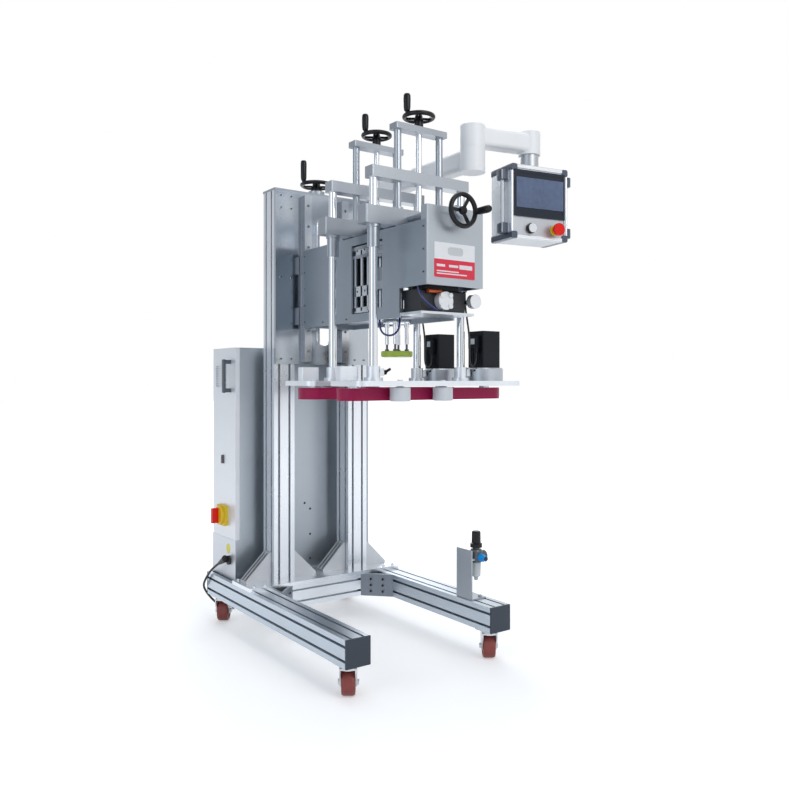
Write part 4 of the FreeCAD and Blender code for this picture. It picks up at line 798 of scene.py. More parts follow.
@dataclass
class BaseFrame:
    """Legs, beam, castors and mast foot."""

    leg_x: float = 264.0
    profile: float = 80.0
    castor_height: float = 100.0
    beam_y: float = 460.0
    bracket_back: float = 420.0
    bracket_leg: float = 84.0

    def dress(self) -> None:
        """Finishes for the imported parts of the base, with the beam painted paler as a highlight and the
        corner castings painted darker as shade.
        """
        inner = self.leg_x - self.profile / 2
        low, high = self.castor_height, self.castor_height + self.profile
        # painted highlight: the cross beam's front gets a paler copy of the profile finish, for the light
        # that falls on it
        beam = Patch((0.1 - inner, self.beam_y - 45, low - 5), (inner - 0.1, self.beam_y + 45, high + 5),
                     (0.78, 0.82, 0.86), 0.28, 0.85)
        STORE.dress(variant("anodised profile", "base profile with painted beam highlight", beam), "base_profiles")
        # the pillars wear the profile's anodising painted lighter, as a highlight of their lit fronts
        STORE.dress("anodised mast painted lighter", "pillars")
        STORE.dress("slate cap", "leg_end_caps")
        back = self.bracket_back
        # painted shade: the front of each corner casting is darkened where shade falls on it
        dark = (0.22, 0.25, 0.29)
        corners = [Patch((left, back - 100, low - 1), (left + 92, back + 1, high + 1), dark, 0.42, 0.75)
                   for left in (-inner - 1, inner - 91)]
        STORE.dress(variant("cast casting", "bracket casting with painted shade", *corners), "base_brackets")
        STORE.dress("plated base", "base_plate")
        for number in range(1, 5):
            STORE.dress("zinc fork", f"castor_fork_{number}")
            STORE.dress("castor tread", f"castor_wheel_{number}")

    def sockets(self) -> None:
        """Hexagon sockets in the base plate's screws, dark as painted shade of their hollows."""
        low, high = span("base_plate")
        near, far = self.leg_x - 20, self.leg_x + 20
        centres = plane_grid(Axis.Z, high[2], [-near, -far, near, far], [low[1] + 16, high[1] - 16])
        sockets = hexagon_recesses(centres, Axis.Z, radius=3.0, deep=0.25)
        write("base_plate_sockets", sockets, "dark screws and painted socket shade", "base")

    def bracket_screws(self) -> None:
        """Dark screws on both corner castings: set out in front of the face, then turned to it."""
        half = self.bracket_leg / 2
        heights = [self.castor_height + rise for rise in (18, 40, 62)]
        pieces = []
        for side in (-1, 1):
            x, y = side * (self.leg_x - self.profile / 2 - half), self.bracket_back - half
            centres = plane_grid(Axis.Y, y - 4.6, [x - 22, x + 22], heights)
            heads = [lathe([(4.2, 0.0), (4.2, 0.9)], tuple(centre), Axis.Y, 20) for centre in centres]
            pieces.append(Shape.merged(heads).turned(-45.0 * side, (x, y)))
        write("bracket_screws", Shape.merged(pieces), "dark screws and painted socket shade", "base")


@dataclass
class Mast:
    """Back plate, rails, bridge and lift wheel."""

    rail_x: float = 76.0
    rail_low: float = 950.0
    rail_high: float = 1530.0
    rail_holes: int = 8
    rail_face: float = 9.4
    plate_face: float = 445.2
    plate_x: tuple[float, ...] = (-171.0, -131.0, 131.0, 171.0)
    plate_z: tuple[float, ...] = (959.0, 1241.5, 1482.0, 1524.0)

    def dress(self) -> None:
        """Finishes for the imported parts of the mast."""
        STORE.dress("polished plate", "back_plate")
        STORE.dress("ground rail", "lift_rails")
        STORE.dress("machined aluminium", "top_bridge")
        STORE.dress(steel_screw("lift wheel", (-20, 450, 800), (20, 550, 1566)), "lift_wheel")

    def rail_sockets(self) -> None:
        """Dark screw sockets down both rails, painted shade of their hollows."""
        front = span("lift_rails")[0][1] + self.rail_face
        pitch = (self.rail_high - self.rail_low) / self.rail_holes
        heights = self.rail_low + pitch * (np.arange(self.rail_holes) + 0.5)
        centres = plane_grid(Axis.Y, front, [-self.rail_x, self.rail_x], heights)
        sockets = hexagon_recesses(centres, Axis.Y, radius=3.2, deep=0.5)
        write("rail_screw_sockets", sockets, "dark screws and painted socket shade", "base")

    def plate_sockets(self) -> None:
        """Dark sockets in the back plate's screws, painted shade of their hollows."""
        centres = plane_grid(Axis.Y, self.plate_face, self.plate_x, self.plate_z)
        sockets = hexagon_recesses(centres, Axis.Y, radius=3.1, deep=0.5)
        write("plate_sockets", sockets, "dark screws and painted socket shade", "base")


@dataclass
class Head:
    """The lifting head: panels, cover, drives and placard."""

    half: float = 103.0
    front: float = -286.0
    placard_left: float = -78.0
    placard_right: float = 70.0
    placard_low: float = 1172.0
    placard_split: float = 1223.0
    placard_high: float = 1270.0
    thick: float = 0.8
    guide_face: float = 95.0
    tube_radius: float = 3.0

    def dress(self) -> None:
        """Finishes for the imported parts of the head."""
        STORE.dress("head sheet", "head_side_panels")
        STORE.dress("cover sheet", "front_cover")
        STORE.dress("machined aluminium", "head_frame")
        silver = Patch((-110, -300, 1071), (110, -150, 1079.2), SILVER, 0.3, 0.9)
        nose = Patch((-45, -270, 1080), (16, -238.4, 1142), (0.78, 0.8, 0.82), 0.3, 0.3)
        knob = Patch((74.4, -264, 1080), (118, -240, 1142), (0.8, 0.82, 0.84), 0.22, 0.5)
        drives = replace(variant("motor paint", "head drives", silver, nose, knob), specular=0.5)
        STORE.dress(drives, "head_drives")
        STORE.dress(steel_screw("width wheel", (-200, -313, 1200), (200, 400, 1500)), "width_wheel")

    def panel_sockets(self) -> None:
        """Dark sockets in the screws of both side panels, painted shade of their hollows."""
        places = [(400.0, 1086.0 + 56.5 * i) for i in range(5)]
        places += [(-270.0, 1186.0 + 63.0 * i) for i in range(3)]
        places += [(131.0, 1078.0), (278.0, 1078.0)]
        rows = []
        for side in (-1, 1):
            centres = np.array([(side * (self.half + 1.6) - 0.25, y, z) for y, z in places])
            rows.append(hexagon_recesses(centres, Axis.X, radius=2.9, deep=0.5))
        write("panel_sockets", Shape.merged(rows), "dark screws and painted socket shade", "head")

    def window_guides(self) -> None:
        """Guide bars with their end blocks and cross plate, seen behind both windows.

        Each row of a list is low y, low z, high y and high z.
        """
        blocks = [(22, 1275, 98, 1303), (22, 1095, 98, 1112), (18, 1146, 94, 1178)]
        bars = [(y, 1100, y + 9, 1290) for y in (88, 52, 17)]
        face = self.guide_face
        shapes, screws = [], []
        for side in (-1, 1):
            for deep, rows in ((9.0, blocks), (6.0, bars)):
                x0, x1 = sorted((side * face, side * (face - deep)))
                shapes += [slab((x0, a, b), (x1, c, d), Axis.X, 1.5, 0.4) for a, b, c, d in rows]
            # dark screw sockets, painted shade of their hollows
            places = [(side * (face + 0.2) - 0.25, y, z) for y in (38, 80) for z in (1289, 1162)]
            screws.append(hexagon_recesses(np.array(places), Axis.X, radius=3.4, deep=0.5))
        light = Finish("guide aluminium", (0.62, 0.66, 0.70), 0.3, 0.8, Pattern.ALONG_Z, 1000.0, 0.02, 0.06)
        write("window_guides", Shape.merged(shapes), light, "head")
        write("guide_screws", Shape.merged(screws), "dark screws and painted socket shade", "head")

    def placard(self) -> None:
        """White and red placard with plain pale bars, and no words.

        Each bar is low x, low z, high x and high z.
        """
        z0, z1, z2 = self.placard_low, self.placard_split, self.placard_high
        back, face = self.front - 0.05, self.front - self.thick
        red = Patch((-200, -400, z0 - 1), (200, 0, z1), (0.74, 0.025, 0.06), 0.3)
        card = Finish("placard", (0.86, 0.87, 0.88), 0.3, grain_depth=0.0, tone=0.02, patches=(red,))
        plate = slab((self.placard_left, face, z0), (self.placard_right, back, z2), Axis.Y, 3.0, 0.2)
        write("placard", plate, card, "head")
        bars = [(-70, 1202, -40, 1209), (-26, 1202, 8, 1209), (12, 1199, 60, 1211),
                (-70, 1188, 10, 1191.5), (-70, 1181, 40, 1184.5)]
        shapes = [slab((a, face - 0.25, b), (c, face + 0.1, d), Axis.Y, 1.2, 0.1) for a, b, c, d in bars]
        pale = Finish("placard bars", (0.85, 0.78, 0.8), 0.35, grain_depth=0.0, tone=0.02)
        write("placard_bars", Shape.merged(shapes), pale, "head")
        shade = Finish("placard shape", (0.6, 0.62, 0.64), 0.35, grain_depth=0.0, tone=0.02)
        mark = slab((-30, face - 0.2, z1 + 13), (26, face + 0.1, z2 - 11), Axis.Y, 9.0, 0.1)
        write("placard_shape", mark, shade, "head")

    def drive_trim(self) -> None:
        """Bronze clamp and air tubes under the cover."""
        clamp = slab((-70, -254, 1132), (-22, -239, 1143), Axis.X, 4.0, 1.0)
        write("bronze_clamp", clamp, "bronze clamp", "head")
        routes = {
            "air_tube_front": [(-96, -235, 1150), (-97, -243, 1130), (-84, -252, 1108), (-62, -256, 1092),
                               (-40, -252, 1083)],
            "air_tube_spindle": [(-58, -96, 1079), (-60, -98, 1054), (-66, -100, 1032), (-84, -92, 1016),
                                 (-97, -66, 1021), (-99, -48, 1044), (-93, -40, 1079)],
        }
        for name, points in routes.items():
            write(name, tube(curve_through(points, 10), self.tube_radius), "tube blue", "head")


@dataclass
class BeltUnit:
    """One gripping belt unit with its crosshead and gantry."""

    place: str
    side: int
    column_x: float = 164.5
    column_half: float = 12.8
    clamp_top: float = 925.0
    beam_low: float = 1468.9
    handwheel_z: float = 1675.0

    @property
    def y(self) -> float:
        """Centre line of the unit."""
        return self.side * UNIT_LINE

    @property
    def body(self) -> str:
        """The body that the unit's own pieces move with."""
        return f"unit_{self.place}"

    def dress(self) -> None:
        """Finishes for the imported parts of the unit: its columns bright, its beam darker."""
        place, y = self.place, self.y
        low, high, half = self.clamp_top, self.beam_low, self.column_half
        bars = [Patch((x - half, y - half, low), (x + half, y + half, high), BRIGHT, 0.12, 1.0)
                for x in (-self.column_x, self.column_x)]
        beam = Patch((-200, y - 30, high), (200, y + 30, 1510), (0.40, 0.43, 0.47), 0.32, 0.85)
        STORE.dress(variant("belt plate", f"unit frame {place}", *bars, beam), f"unit_frame_{place}")
        STORE.dress("machined aluminium", f"crosshead_{place}")
        STORE.dress(steel_screw(f"height wheel {place}", (-200, -400, 1000), (200, 400, 1641)),
                    f"height_wheel_{place}")
        STORE.dress("crimson belt", f"belt_{place}")
        STORE.dress("ground rail", f"drive_pulley_{place}", f"idler_pulley_{place}")
        STORE.dress("white nylon", f"guide_roller_{place}_1", f"guide_roller_{place}_2")
        housing = Patch((200, y - 62, 880), (325, y + 62, 924.2), (0.42, 0.45, 0.49), 0.34, 0.8)
        STORE.dress(variant("motor paint", f"drive motor {place}", housing), f"drive_motor_{place}")

    def ties(self) -> None:
        """Cable ties round the right column and its lead."""
        outline = [(13.4, 0.0), (20.2, 0.0), (20.2, 3.2), (13.4, 3.2)]
        rings = [lathe(outline, (self.column_x, self.y, z), Axis.Z, 40) for z in (1118.0, 1160.0)]
        write(f"cable_ties_{self.place}", Shape.merged(rings), "cable sheath", self.body)

    def levers(self) -> None:
        """Clamping levers on the columns' feet: a hub with a bent round handle."""
        y, z = self.y, self.clamp_top - 17
        outline = [(3.0, 0.0), (7.0, 0.6), (7.0, 11.0), (5.0, 12.5), (0.4, 12.5)]
        shapes = []
        for x in (-self.column_x, self.column_x):
            hub = lathe(outline, (x + 33.0, y, z), Axis.X, 24)
            path = np.array([(x + 41.0, y, z), (x + 42.5, y - 9, z + 4), (x + 43.5, y - 22, z + 9)])
            shapes += [hub, tube(path, 4.0)]
        write(f"clamp_levers_{self.place}", Shape.merged(shapes), "wheel enamel", self.body)

    def plate(self) -> None:
        """Pale plate without words on the motor's terminal box."""
        pale = Finish("rating plate", (0.62, 0.65, 0.68), 0.35, 0.4, grain_depth=0.0, tone=0.03)
        plate = slab((208.8, self.y - 14, 998), (209.6, self.y + 4, 1016), Axis.X, 1.5, 0.1)
        write(f"motor_plate_{self.place}", plate, pale, self.body)

    def handwheel(self) -> None:
        """Sheath of the height screw's handwheel."""
        Handwheel(f"height_wheel_sheath_{self.place}", f"height_screw_{self.place}",
                  centre=(0.0, self.y, self.handwheel_z), rim=43.5, length=62.0).sheath()


@dataclass
class CappingTool:
    """Sliding carriage, spindle and friction disc."""

    disc_top: float = 975.0

    def dress(self) -> None:
        """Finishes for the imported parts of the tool."""
        STORE.dress("machined aluminium", "cap_carriage")
        STORE.dress("chromed bar", "cap_spindle")
        studs = Patch((-60, -60, self.disc_top + 0.1), (60, 60, 1100), (0.10, 0.11, 0.12), 0.3, 0.8)
        STORE.dress(variant("lime pad", "friction disc", studs), "cap_disc")


@dataclass
class OperatorPanel:
    """Arm, panel box, screen and buttons, in the panel's own turned frame."""

    x: float = 430.0
    y: float = -146.0
    z: float = 1336.0
    yaw: float = -10.0
    wide: float = 217.0
    deep: float = 119.0
    high: float = 235.0
    edge: float = 13.0
    button_z: float = 34.0

    def placed(self, shape: Shape) -> Shape:
        """A shape modelled about the panel's foot, put in its place and turned."""
        return shape.moved((self.x, self.y, self.z)).turned(self.yaw, (self.x, self.y))

    def dress(self) -> None:
        """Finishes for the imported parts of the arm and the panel."""
        STORE.dress("white powder coat", "arm_first", "arm_second")
        face = Finish("panel face", (0.44, 0.46, 0.49), 0.38, 0.7, Pattern.ALONG_X, 1100.0, 0.02, 0.04)
        STORE.dress(face, "panel_box")
        STORE.dress("screen bezel", "panel_screen")
        STORE.dress("signal red", "e_stop")
        STORE.dress("button white", "push_button")

    def frame_profiles(self) -> None:
        """Bright extrusions round the face, with dark corner pieces, and the handles' dark ends."""
        w, d, h, edge = self.wide / 2, self.deep / 2, self.high, self.edge
        front = -d - 0.8
        bars = [
            slab((-w - 0.6, front, edge + 8), (-w + edge - 5, d + 0.4, h - edge - 8), Axis.Z, 4.0, 0.4),
            slab((w - edge + 5, front, edge + 8), (w + 0.6, d + 0.4, h - edge - 8), Axis.Z, 4.0, 0.4),
            slab((-w + edge + 8, front, -0.6), (w - edge - 8, -d + 9, edge), Axis.X, 4.0, 0.4),
            slab((-w + edge + 8, front, h - edge), (w - edge - 8, -d + 9, h + 0.6), Axis.X, 4.0, 0.4),
        ]
        bright = Finish("panel extrusion", (0.80, 0.82, 0.85), 0.26, 0.55, Pattern.ALONG_Z, 1100.0, 0.01,
                        0.03)
        write("panel_profiles", self.placed(Shape.merged(bars)), bright, "panel")
        corners, ends = [], []
        for side in (-1, 1):
            x0, x1 = sorted((side * (w + 1.0), side * (w - edge - 9)))
            for z0, z1 in ((-1.0, edge + 9), (h - edge - 9, h + 1.0)):
                corners.append(slab((x0, -d - 1.6, z0), (x1, d + 0.8, z1), Axis.Y, 6.0, 1.2))
            x0, x1 = sorted((side * (w + 0.9), side * (w + 26.6)))
            for z0 in (17.0, h - 49.0):
                ends.append(slab((x0, -d + 15, z0), (x1, -d + 47, z0 + 32), Axis.Z, 6.0, 1.4))
        slate = Finish("panel corner", (0.05, 0.07, 0.11), 0.4, grain_scale=1100.0, coat=0.2)
        write("panel_corners", self.placed(Shape.merged(corners + ends)), slate, "panel")

    def display(self) -> None:
        """The lit area of the touch screen behind its glass, without any picture."""
        d = self.deep / 2
        glass = slab((-93, -d - 5.0, 98), (89, -d - 3.2, 194), Axis.Y, 2.0, 0.3)
        write("screen_glass", self.placed(glass), "screen display", "panel")

    def button_rings(self) -> None:
        """Yellow ring of the emergency stop and black seat of the push button."""
        face = 0.5 - self.deep / 2
        ring = [(9.4, 0.0), (15.5, 0.0), (17.0, 1.2), (17.0, 5.0), (15.0, 6.5), (9.4, 6.5)]
        seat = [(9.4, 0.0), (16.5, 0.0), (16.5, 4.0), (14.5, 5.2), (9.4, 5.2)]
        for name, outline, x, finish in (("e_stop_ring", ring, 56.0, "switch yellow"),
                                         ("button_seat", seat, -36.0, "wheel enamel")):
            turned = lathe(outline, (x, face, self.button_z), Axis.Y, 40).mirrored(Axis.Y, face)
            write(name, self.placed(turned), finish, "panel")


@dataclass
class Cabinet:
    """Control cabinet with door, switch and gland."""

    left: float = -280.0
    switch_y: float = 681.0
    switch_z: float = 400.0
    switch_face: float = -292.2
    front: float = 580.0

    def dress(self) -> None:
        """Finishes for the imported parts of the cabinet."""
        x = self.left
        strip = Patch((x - 1, 570, 170), (x + 0.4, 790, 322), (0.62, 0.64, 0.68), 0.4, 0.6)
        gland = Patch((x - 60, 560, 190), (x - 0.2, 700, 300), (0.012, 0.012, 0.013), 0.45)
        STORE.dress(variant("cabinet sheet", "cabinet shell", strip, gland), "cabinet_shell")
        handle = Patch((x - 40, 610, 835), (x - 0.1, 636, 965), (0.09, 0.105, 0.12), 0.35, 0.5)
        lock = Patch((x - 8, 676, 580), (x - 0.1, 698, 620), (0.012, 0.012, 0.014), 0.35)
        seat = Patch((x - 22, 640, 360), (x - 0.1, 720, 440), (0.82, 0.56, 0.01), 0.36)
        door = Finish("door sheet", (0.74, 0.76, 0.79), 0.40, 0.45, Pattern.ALONG_Z, 1100.0, 0.03, 0.04,
                      patches=(handle, lock, seat))
        STORE.dress(door, "cabinet_door")
        STORE.dress("signal red", "main_switch")

    def collar(self) -> None:
        """Yellow collar of the main switch, the plain yellow sticker below, and the front's screws."""
        outline = [(24.0, 0.0), (34.0, 0.0), (34.0, 8.0), (31.5, 10.5), (24.0, 10.5)]
        ring = lathe(outline, (self.switch_face, self.switch_y, self.switch_z), Axis.X, 48)
        write("switch_collar", ring.mirrored(Axis.X, self.switch_face), "switch yellow", "cabinet_door")
        heads = [lathe([(1.0, -1.6), (3.4, -1.4), (4.2, -0.1)], (x, self.front, z), Axis.Y, 20)
                 for x, z in ((-4.0, 430.0), (19.0, 407.0), (19.0, 313.0), (19.0, 223.0))]
        write("cabinet_screws", Shape.merged(heads), "dark screws and painted socket shade", "base")
        sticker = lathe([(17.0, 0.0), (17.0, 0.3)], (self.left - 0.32, 640, 285), Axis.X, 48)
        lemon = Finish("sticker", (0.83, 0.78, 0.03), grain_depth=0.0, tone=0.02)
        write("yellow_sticker", sticker, lemon, "base")


@dataclass
class Regulator:
    """Filter regulator with its knob, fitting and gauge."""

    x: float = 268.0
    y: float = -68.0
    z: float = 314.0

    def dress(self) -> None:
        """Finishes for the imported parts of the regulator."""
        STORE.dress("cover sheet", "regulator_bracket")
        x, y, z = self.x, self.y, self.z
        bowl = Patch((x - 20, y - 20, 230), (x + 20, y + 20, 296), (0.62, 0.66, 0.66), 0.18)
        fitting = Patch((x - 14, y - 50, z - 14), (x + 14, y - 20.2, z + 14), (0.01, 0.36, 0.86), 0.28)
        STORE.dress(Finish("regulator body", (0.10, 0.11, 0.12), 0.36, 0.3, grain_depth=0.05, tone=0.1,
                           patches=(bowl, fitting)), "regulator_body")
        STORE.dress("wheel enamel", "regulator_knob")

    def fitting_tip(self) -> None:
        """Black release collar of the hose fitting, and the gauge's face."""
        outline = [(4.3, -3.0), (6.4, -3.0), (6.8, 0.0), (4.3, 0.0)]
        tip = lathe(outline, (self.x, self.y - 46.1, self.z), Axis.Y, 32)
        write("fitting_collar", tip, "cable sheath", "base")
        face = lathe([(14.0, 0.0), (14.0, 0.5), (0.3, 0.5)], (self.x + 34.05, self.y, self.z), Axis.X, 40)
        write("gauge_face", face, "dial face", "base")


@dataclass
class Cables:
    """Free cords: the mains lead and the two motor leads."""

    motor_route: tuple[Point, ...] = (
        (216.5, -14, 971.6), (216.5, -14, 956), (213.5, -15.5, 942), (204, -20, 931), (191, -26, 926.5),
        (179, -31.5, 932), (171, -35.5, 944), (169, -36.5, 962), (172, -33, 992), (176, -27, 1030),
        (174, -20, 1072), (169.5, -16.6, 1112), (168, -16, 1152), (168.6, -15.9, 1192))
    mains_route: tuple[Point, ...] = (
        (-303, 668, 230), (-310, 712, 205), (-315, 752, 168), (-314, 790, 130), (-296, 812, 100),
        (-270, 825, 68), (-240, 836, 38), (-205, 845, 14), (-165, 851, 4.6), (-122, 855, 4.5),
        (-82, 855.5, 4.5), (-48, 853, 4.5))
    plug_route: tuple[Point, ...] = (
        (-8.0, 850.2, 33.0), (2.5, 845.0, 40.0), (11.5, 838.0, 47.0), (18.1, 830.0, 50.5),
        (19.5, 827.6, 50.6))
    coil_centre: tuple[float, float] = (-20.0, 808.0)
    coil_r: float = 44.0
    coil_low: float = 4.4
    step_over: float = 0.2
    pitch: float = 8.2
    turns: int = 8
    steps: int = 12

    def coil(self) -> Array:
        """Control points of the wound turns: outer, inner, inner, outer, two turns to a layer.

        A point stands at angle 90 - 360 t degrees and radius r(t), t counting turns. It is set out by
        1 / cos(180 / steps), because the spline passes inside its points. Each turn takes the last
        step_over of the turn before it to reach its own radius and height.

        Returns:
            Points by 3.
        """
        t = np.arange(0, self.turns * self.steps + 1) / self.steps
        over = t + self.step_over
        turn = np.minimum(np.floor(over), self.turns - 1).astype(int)
        before = np.maximum(turn - 1, 0)
        ease = np.clip((over - turn) / self.step_over, 0.0, 1.0)
        ring = np.array([1, -1, -1, 1] * (self.turns // 4 + 1)) * self.pitch / 2
        layer = np.repeat(np.arange(self.turns), 2)[:self.turns] * self.pitch + self.coil_low
        radius = self.coil_r + ring[before] + (ring[turn] - ring[before]) * ease
        height = layer[before] + (layer[turn] - layer[before]) * ease
        out = radius / math.cos(math.pi / self.steps)
        angle = np.pi / 2 - 2 * np.pi * t
        return np.column_stack([self.coil_centre[0] + out * np.cos(angle),
                                self.coil_centre[1] + out * np.sin(angle), height])

    @staticmethod
    def spline(name: str, points: Iterable[Sequence[float]], radius: float, body: str) -> bpy.types.Object:
        """A cord as one smooth open spline with a round bevel.

        Args:
            name: name of the piece.
            points: its control points, in millimetres.
            radius: half its diameter.
            body: the body that it rides on.

        Returns:
            The curve object.
        """
        curve = bpy.data.curves.new(name, "CURVE")
        curve.dimensions = "3D"
        line = curve.splines.new("NURBS")
        chosen = [(x * MM, y * MM, z * MM, 1.0) for x, y, z in points]
        line.points.add(len(chosen) - 1)
        line.points.foreach_set("co", [value for point in chosen for value in point])
        line.order_u = 3
        line.use_endpoint_u = True
        line.resolution_u = 8
        curve.bevel_depth = radius * MM
        curve.bevel_resolution = 4
        curve.use_fill_caps = True
        curve.materials.append(STORE.get("cable sheath"))
        piece = bpy.data.objects.new(name, curve)
        bpy.context.scene.collection.objects.link(piece)
        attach(piece, body)
        return piece

    @staticmethod
    def length(piece: bpy.types.Object) -> float:
        """Length of a cord's centre line, in metres.

        Args:
            piece: the cord's curve.

        Returns:
            The length of the line with no bevel.
        """
        bare = piece.copy()
        bare.data = piece.data.copy()
        bare.data.bevel_depth = 0.0
        mesh = bpy.data.meshes.new_from_object(bare)
        points = np.array([v.co[:] for v in mesh.vertices])
        bpy.data.meshes.remove(mesh)
        bpy.data.curves.remove(bare.data)
        return float(np.linalg.norm(np.diff(points, axis=0), axis=1).sum())

    def mains(self) -> None:
        """The mains lead, from its gland to the coil and the plug."""
        points = [*self.mains_route[:-1], *self.coil()[1:].tolist(), *self.plug_route]
        cord = self.spline("mains_lead", points, 4.0, "base")
        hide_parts("mains_cord", "mains_coil")
        STORE.dress("cable sheath", "mains_plug")
        self.length(cord)

    def motors(self) -> None:
        """The lead of each belt motor, up its column to the clip."""
        for place, side in PLACES:
            points = [(x, side * UNIT_LINE + y, z) for x, y, z in self.motor_route]
            cord = self.spline(f"motor_lead_{place}", points, 3.0, f"unit_{place}")
            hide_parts(f"motor_cable_{place}")
            self.length(cord)


@dataclass(frozen=True)
class Lamp:
    """One soft square lamp: its place and side in metres, its power in watts and its colour."""

    name: str
    place: Point
    size: float
    power: float
    colour: Colour

    def hang(self, target: Point) -> None:
        """Hangs the lamp, facing a point given in metres."""
        data = bpy.data.lights.new(self.name, "AREA")
        data.shape = "SQUARE"
        data.size = self.size
        data.energy = self.power
        data.color = self.colour
        lamp = bpy.data.objects.new(self.name, data)
        lamp.location = self.place
        lamp.rotation_euler = (Vector(target) - Vector(self.place)).to_track_quat("-Z", "Y").to_euler()
        bpy.context.scene.collection.objects.link(lamp)


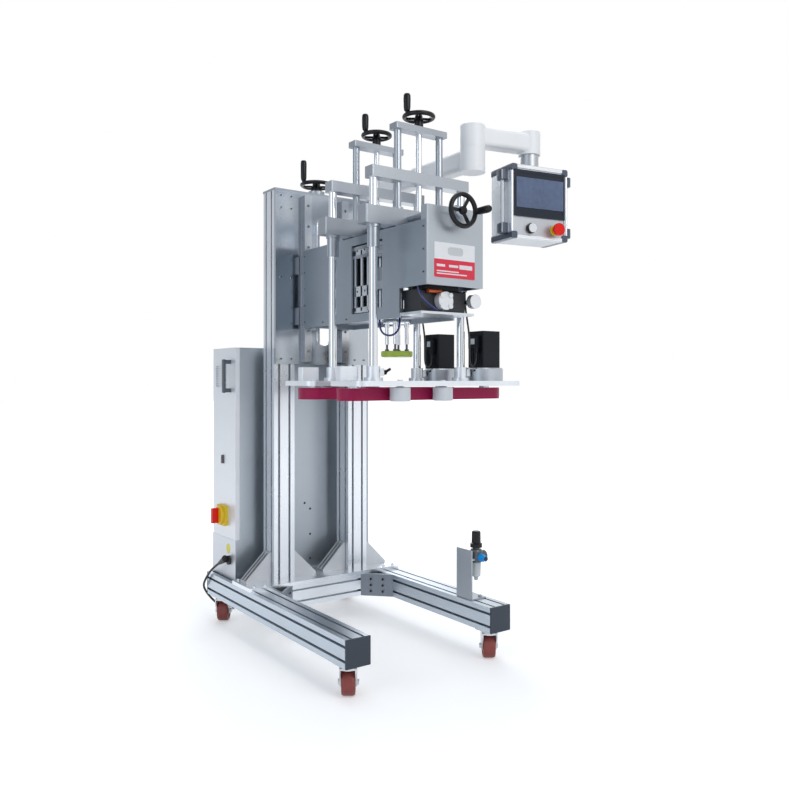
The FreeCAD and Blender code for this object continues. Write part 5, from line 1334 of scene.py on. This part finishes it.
@dataclass
class Studio:
    """Floor, lamps, world and camera. The eye is in millimetres, floor and lamps in metres.

    The floor's own light rises over floor_fade, counted from the origin, and the world's light in metal
    over mirror_fade, counted along the ray's X.
    """

    eye: Point = (-1450.0, -2017.0, 885.0)
    ahead: tuple[float, float] = (0.5808, 0.8140)
    lens: float = 36.40
    shift: float = -0.0175
    reach: float = 30.0
    floor_fade: tuple[float, float] = (1.0, 3.5)
    floor_glow: tuple[float, float] = (0.36, 1.0)
    mirror_fade: tuple[float, float] = (-0.75, 0.10)
    mirror_glow: tuple[float, float] = (0.22, 1.0)
    sky_light: float = 0.42
    middle: Point = (0.0, 0.2, 0.85)
    lamps: tuple[Lamp, ...] = (
        Lamp("key", (0.2, -3.6, 3.2), 2.4, 62.0, (1.0, 0.99, 0.97)),
        Lamp("left fill", (-3.4, -0.6, 2.0), 2.2, 22.0, (0.86, 0.93, 1.0)),
        Lamp("top", (0.2, 0.6, 4.2), 2.6, 46.0, (1.0, 1.0, 1.0)),
        Lamp("rear", (1.6, 3.2, 2.4), 2.0, 34.0, (0.95, 0.98, 1.0)),
    )

    def floor(self) -> None:
        """A pale floor, lifted to white away from the machine, with the machine's shadow kept near it."""
        mesh = bpy.data.meshes.new("floor")
        corners = np.array([(-1, -1), (1, -1), (1, 1), (-1, 1)]) * self.reach
        mesh.from_pydata([(x, y, 0.0) for x, y in corners.tolist()], [], [(0, 1, 2, 3)])
        material = bpy.data.materials.new("pale floor")
        material.use_nodes = True
        tree = material.node_tree
        shader = tree.nodes["Principled BSDF"]
        shader.inputs["Base Color"].default_value = (0.86, 0.86, 0.86, 1.0)
        shader.inputs["Roughness"].default_value = 0.8
        shader.inputs["Specular IOR Level"].default_value = 0.1
        where = tree.nodes.new("ShaderNodeTexCoord")
        away = tree.nodes.new("ShaderNodeVectorMath")
        away.operation = "LENGTH"
        tree.links.new(where.outputs["Object"], away.inputs[0])
        rise = ramp(tree, away.outputs["Value"], self.floor_fade, self.floor_glow, smooth=True)
        rays = tree.nodes.new("ShaderNodeLightPath")
        seen = math_node(tree, "MAXIMUM", rays.outputs["Is Camera Ray"], rays.outputs["Is Glossy Ray"])
        lift = math_node(tree, "MULTIPLY", seen, rise)
        shader.inputs["Emission Color"].default_value = (1.0, 1.0, 1.0, 1.0)
        tree.links.new(lift, shader.inputs["Emission Strength"])
        mesh.materials.append(material)
        floor = bpy.data.objects.new("floor", mesh)
        bpy.context.scene.collection.objects.link(floor)

    def world(self) -> None:
        """White behind the machine, dimmer to the left in its metal, and a soft grey as light."""
        world = bpy.data.worlds.new("studio")
        bpy.context.scene.world = world
        world.use_nodes = True
        tree = world.node_tree
        tree.nodes.clear()
        rays = tree.nodes.new("ShaderNodeLightPath")
        seen = math_node(tree, "MAXIMUM", rays.outputs["Is Camera Ray"],
                         rays.outputs["Is Transmission Ray"])
        where = tree.nodes.new("ShaderNodeTexCoord")
        split = tree.nodes.new("ShaderNodeSeparateXYZ")
        tree.links.new(where.outputs["Generated"], split.inputs[0])
        shade = ramp(tree, split.outputs[0], self.mirror_fade, self.mirror_glow, smooth=True)
        mirrored = math_node(tree, "MULTIPLY", rays.outputs["Is Glossy Ray"], shade)
        seen = math_node(tree, "MAXIMUM", seen, mirrored)
        soft = tree.nodes.new("ShaderNodeBackground")
        soft.inputs[0].default_value = (0.80, 0.88, 1.0, 1.0)
        soft.inputs[1].default_value = self.sky_light
        white = tree.nodes.new("ShaderNodeBackground")
        white.inputs[0].default_value = (1.0, 1.0, 1.0, 1.0)
        white.inputs[1].default_value = 1.0
        mix = tree.nodes.new("ShaderNodeMixShader")
        out = tree.nodes.new("ShaderNodeOutputWorld")
        tree.links.new(seen, mix.inputs[0])
        tree.links.new(soft.outputs[0], mix.inputs[1])
        tree.links.new(white.outputs[0], mix.inputs[2])
        tree.links.new(mix.outputs[0], out.inputs[0])

    def camera(self) -> None:
        """The camera at the photograph's place, level, with the horizon just above the middle."""
        data = bpy.data.cameras.new("camera")
        data.sensor_width = 36.0
        data.lens = self.lens
        data.shift_y = self.shift
        data.clip_end = 100.0
        camera = bpy.data.objects.new("camera", data)
        camera.location = tuple(v * MM for v in self.eye)
        camera.rotation_euler = Vector((*self.ahead, 0.0)).to_track_quat("-Z", "Y").to_euler()
        bpy.context.scene.collection.objects.link(camera)
        bpy.context.scene.camera = camera

    def build(self) -> None:
        """Everything round the machine."""
        bpy.context.scene.view_settings.view_transform = "Standard"
        self.floor()
        self.world()
        for lamp in self.lamps:
            lamp.hang(self.middle)
        self.camera()


def main() -> None:
    """Builds the machine's looks in order."""
    logging.basicConfig(level=logging.INFO, format="%(message)s")
    base = BaseFrame()
    base.dress()
    base.sockets()
    base.bracket_screws()
    mast = Mast()
    mast.dress()
    mast.rail_sockets()
    mast.plate_sockets()
    head = Head()
    head.dress()
    head.panel_sockets()
    head.window_guides()
    head.placard()
    head.drive_trim()
    for place, side in PLACES:
        unit = BeltUnit(place, side)
        unit.dress()
        unit.ties()
        unit.levers()
        unit.plate()
        unit.handwheel()
    Handwheel("lift_wheel_sheath", "lift_screw", centre=(0.0, 500.0, 1592.0), rim=52.5,
              length=82.0).sheath()
    Handwheel("width_wheel_sheath", "width_screw", centre=(0.0, -318.0, 1360.0), rim=44.5, length=62.0,
              axis=Axis.Y).sheath()
    CappingTool().dress()
    panel = OperatorPanel()
    panel.dress()
    panel.frame_profiles()
    panel.display()
    panel.button_rings()
    cabinet = Cabinet()
    cabinet.dress()
    cabinet.collar()
    regulator = Regulator()
    regulator.dress()
    regulator.fitting_tip()
    cables = Cables()
    cables.mains()
    cables.motors()
    Studio().build()


if __name__ == "__main__":
    main()
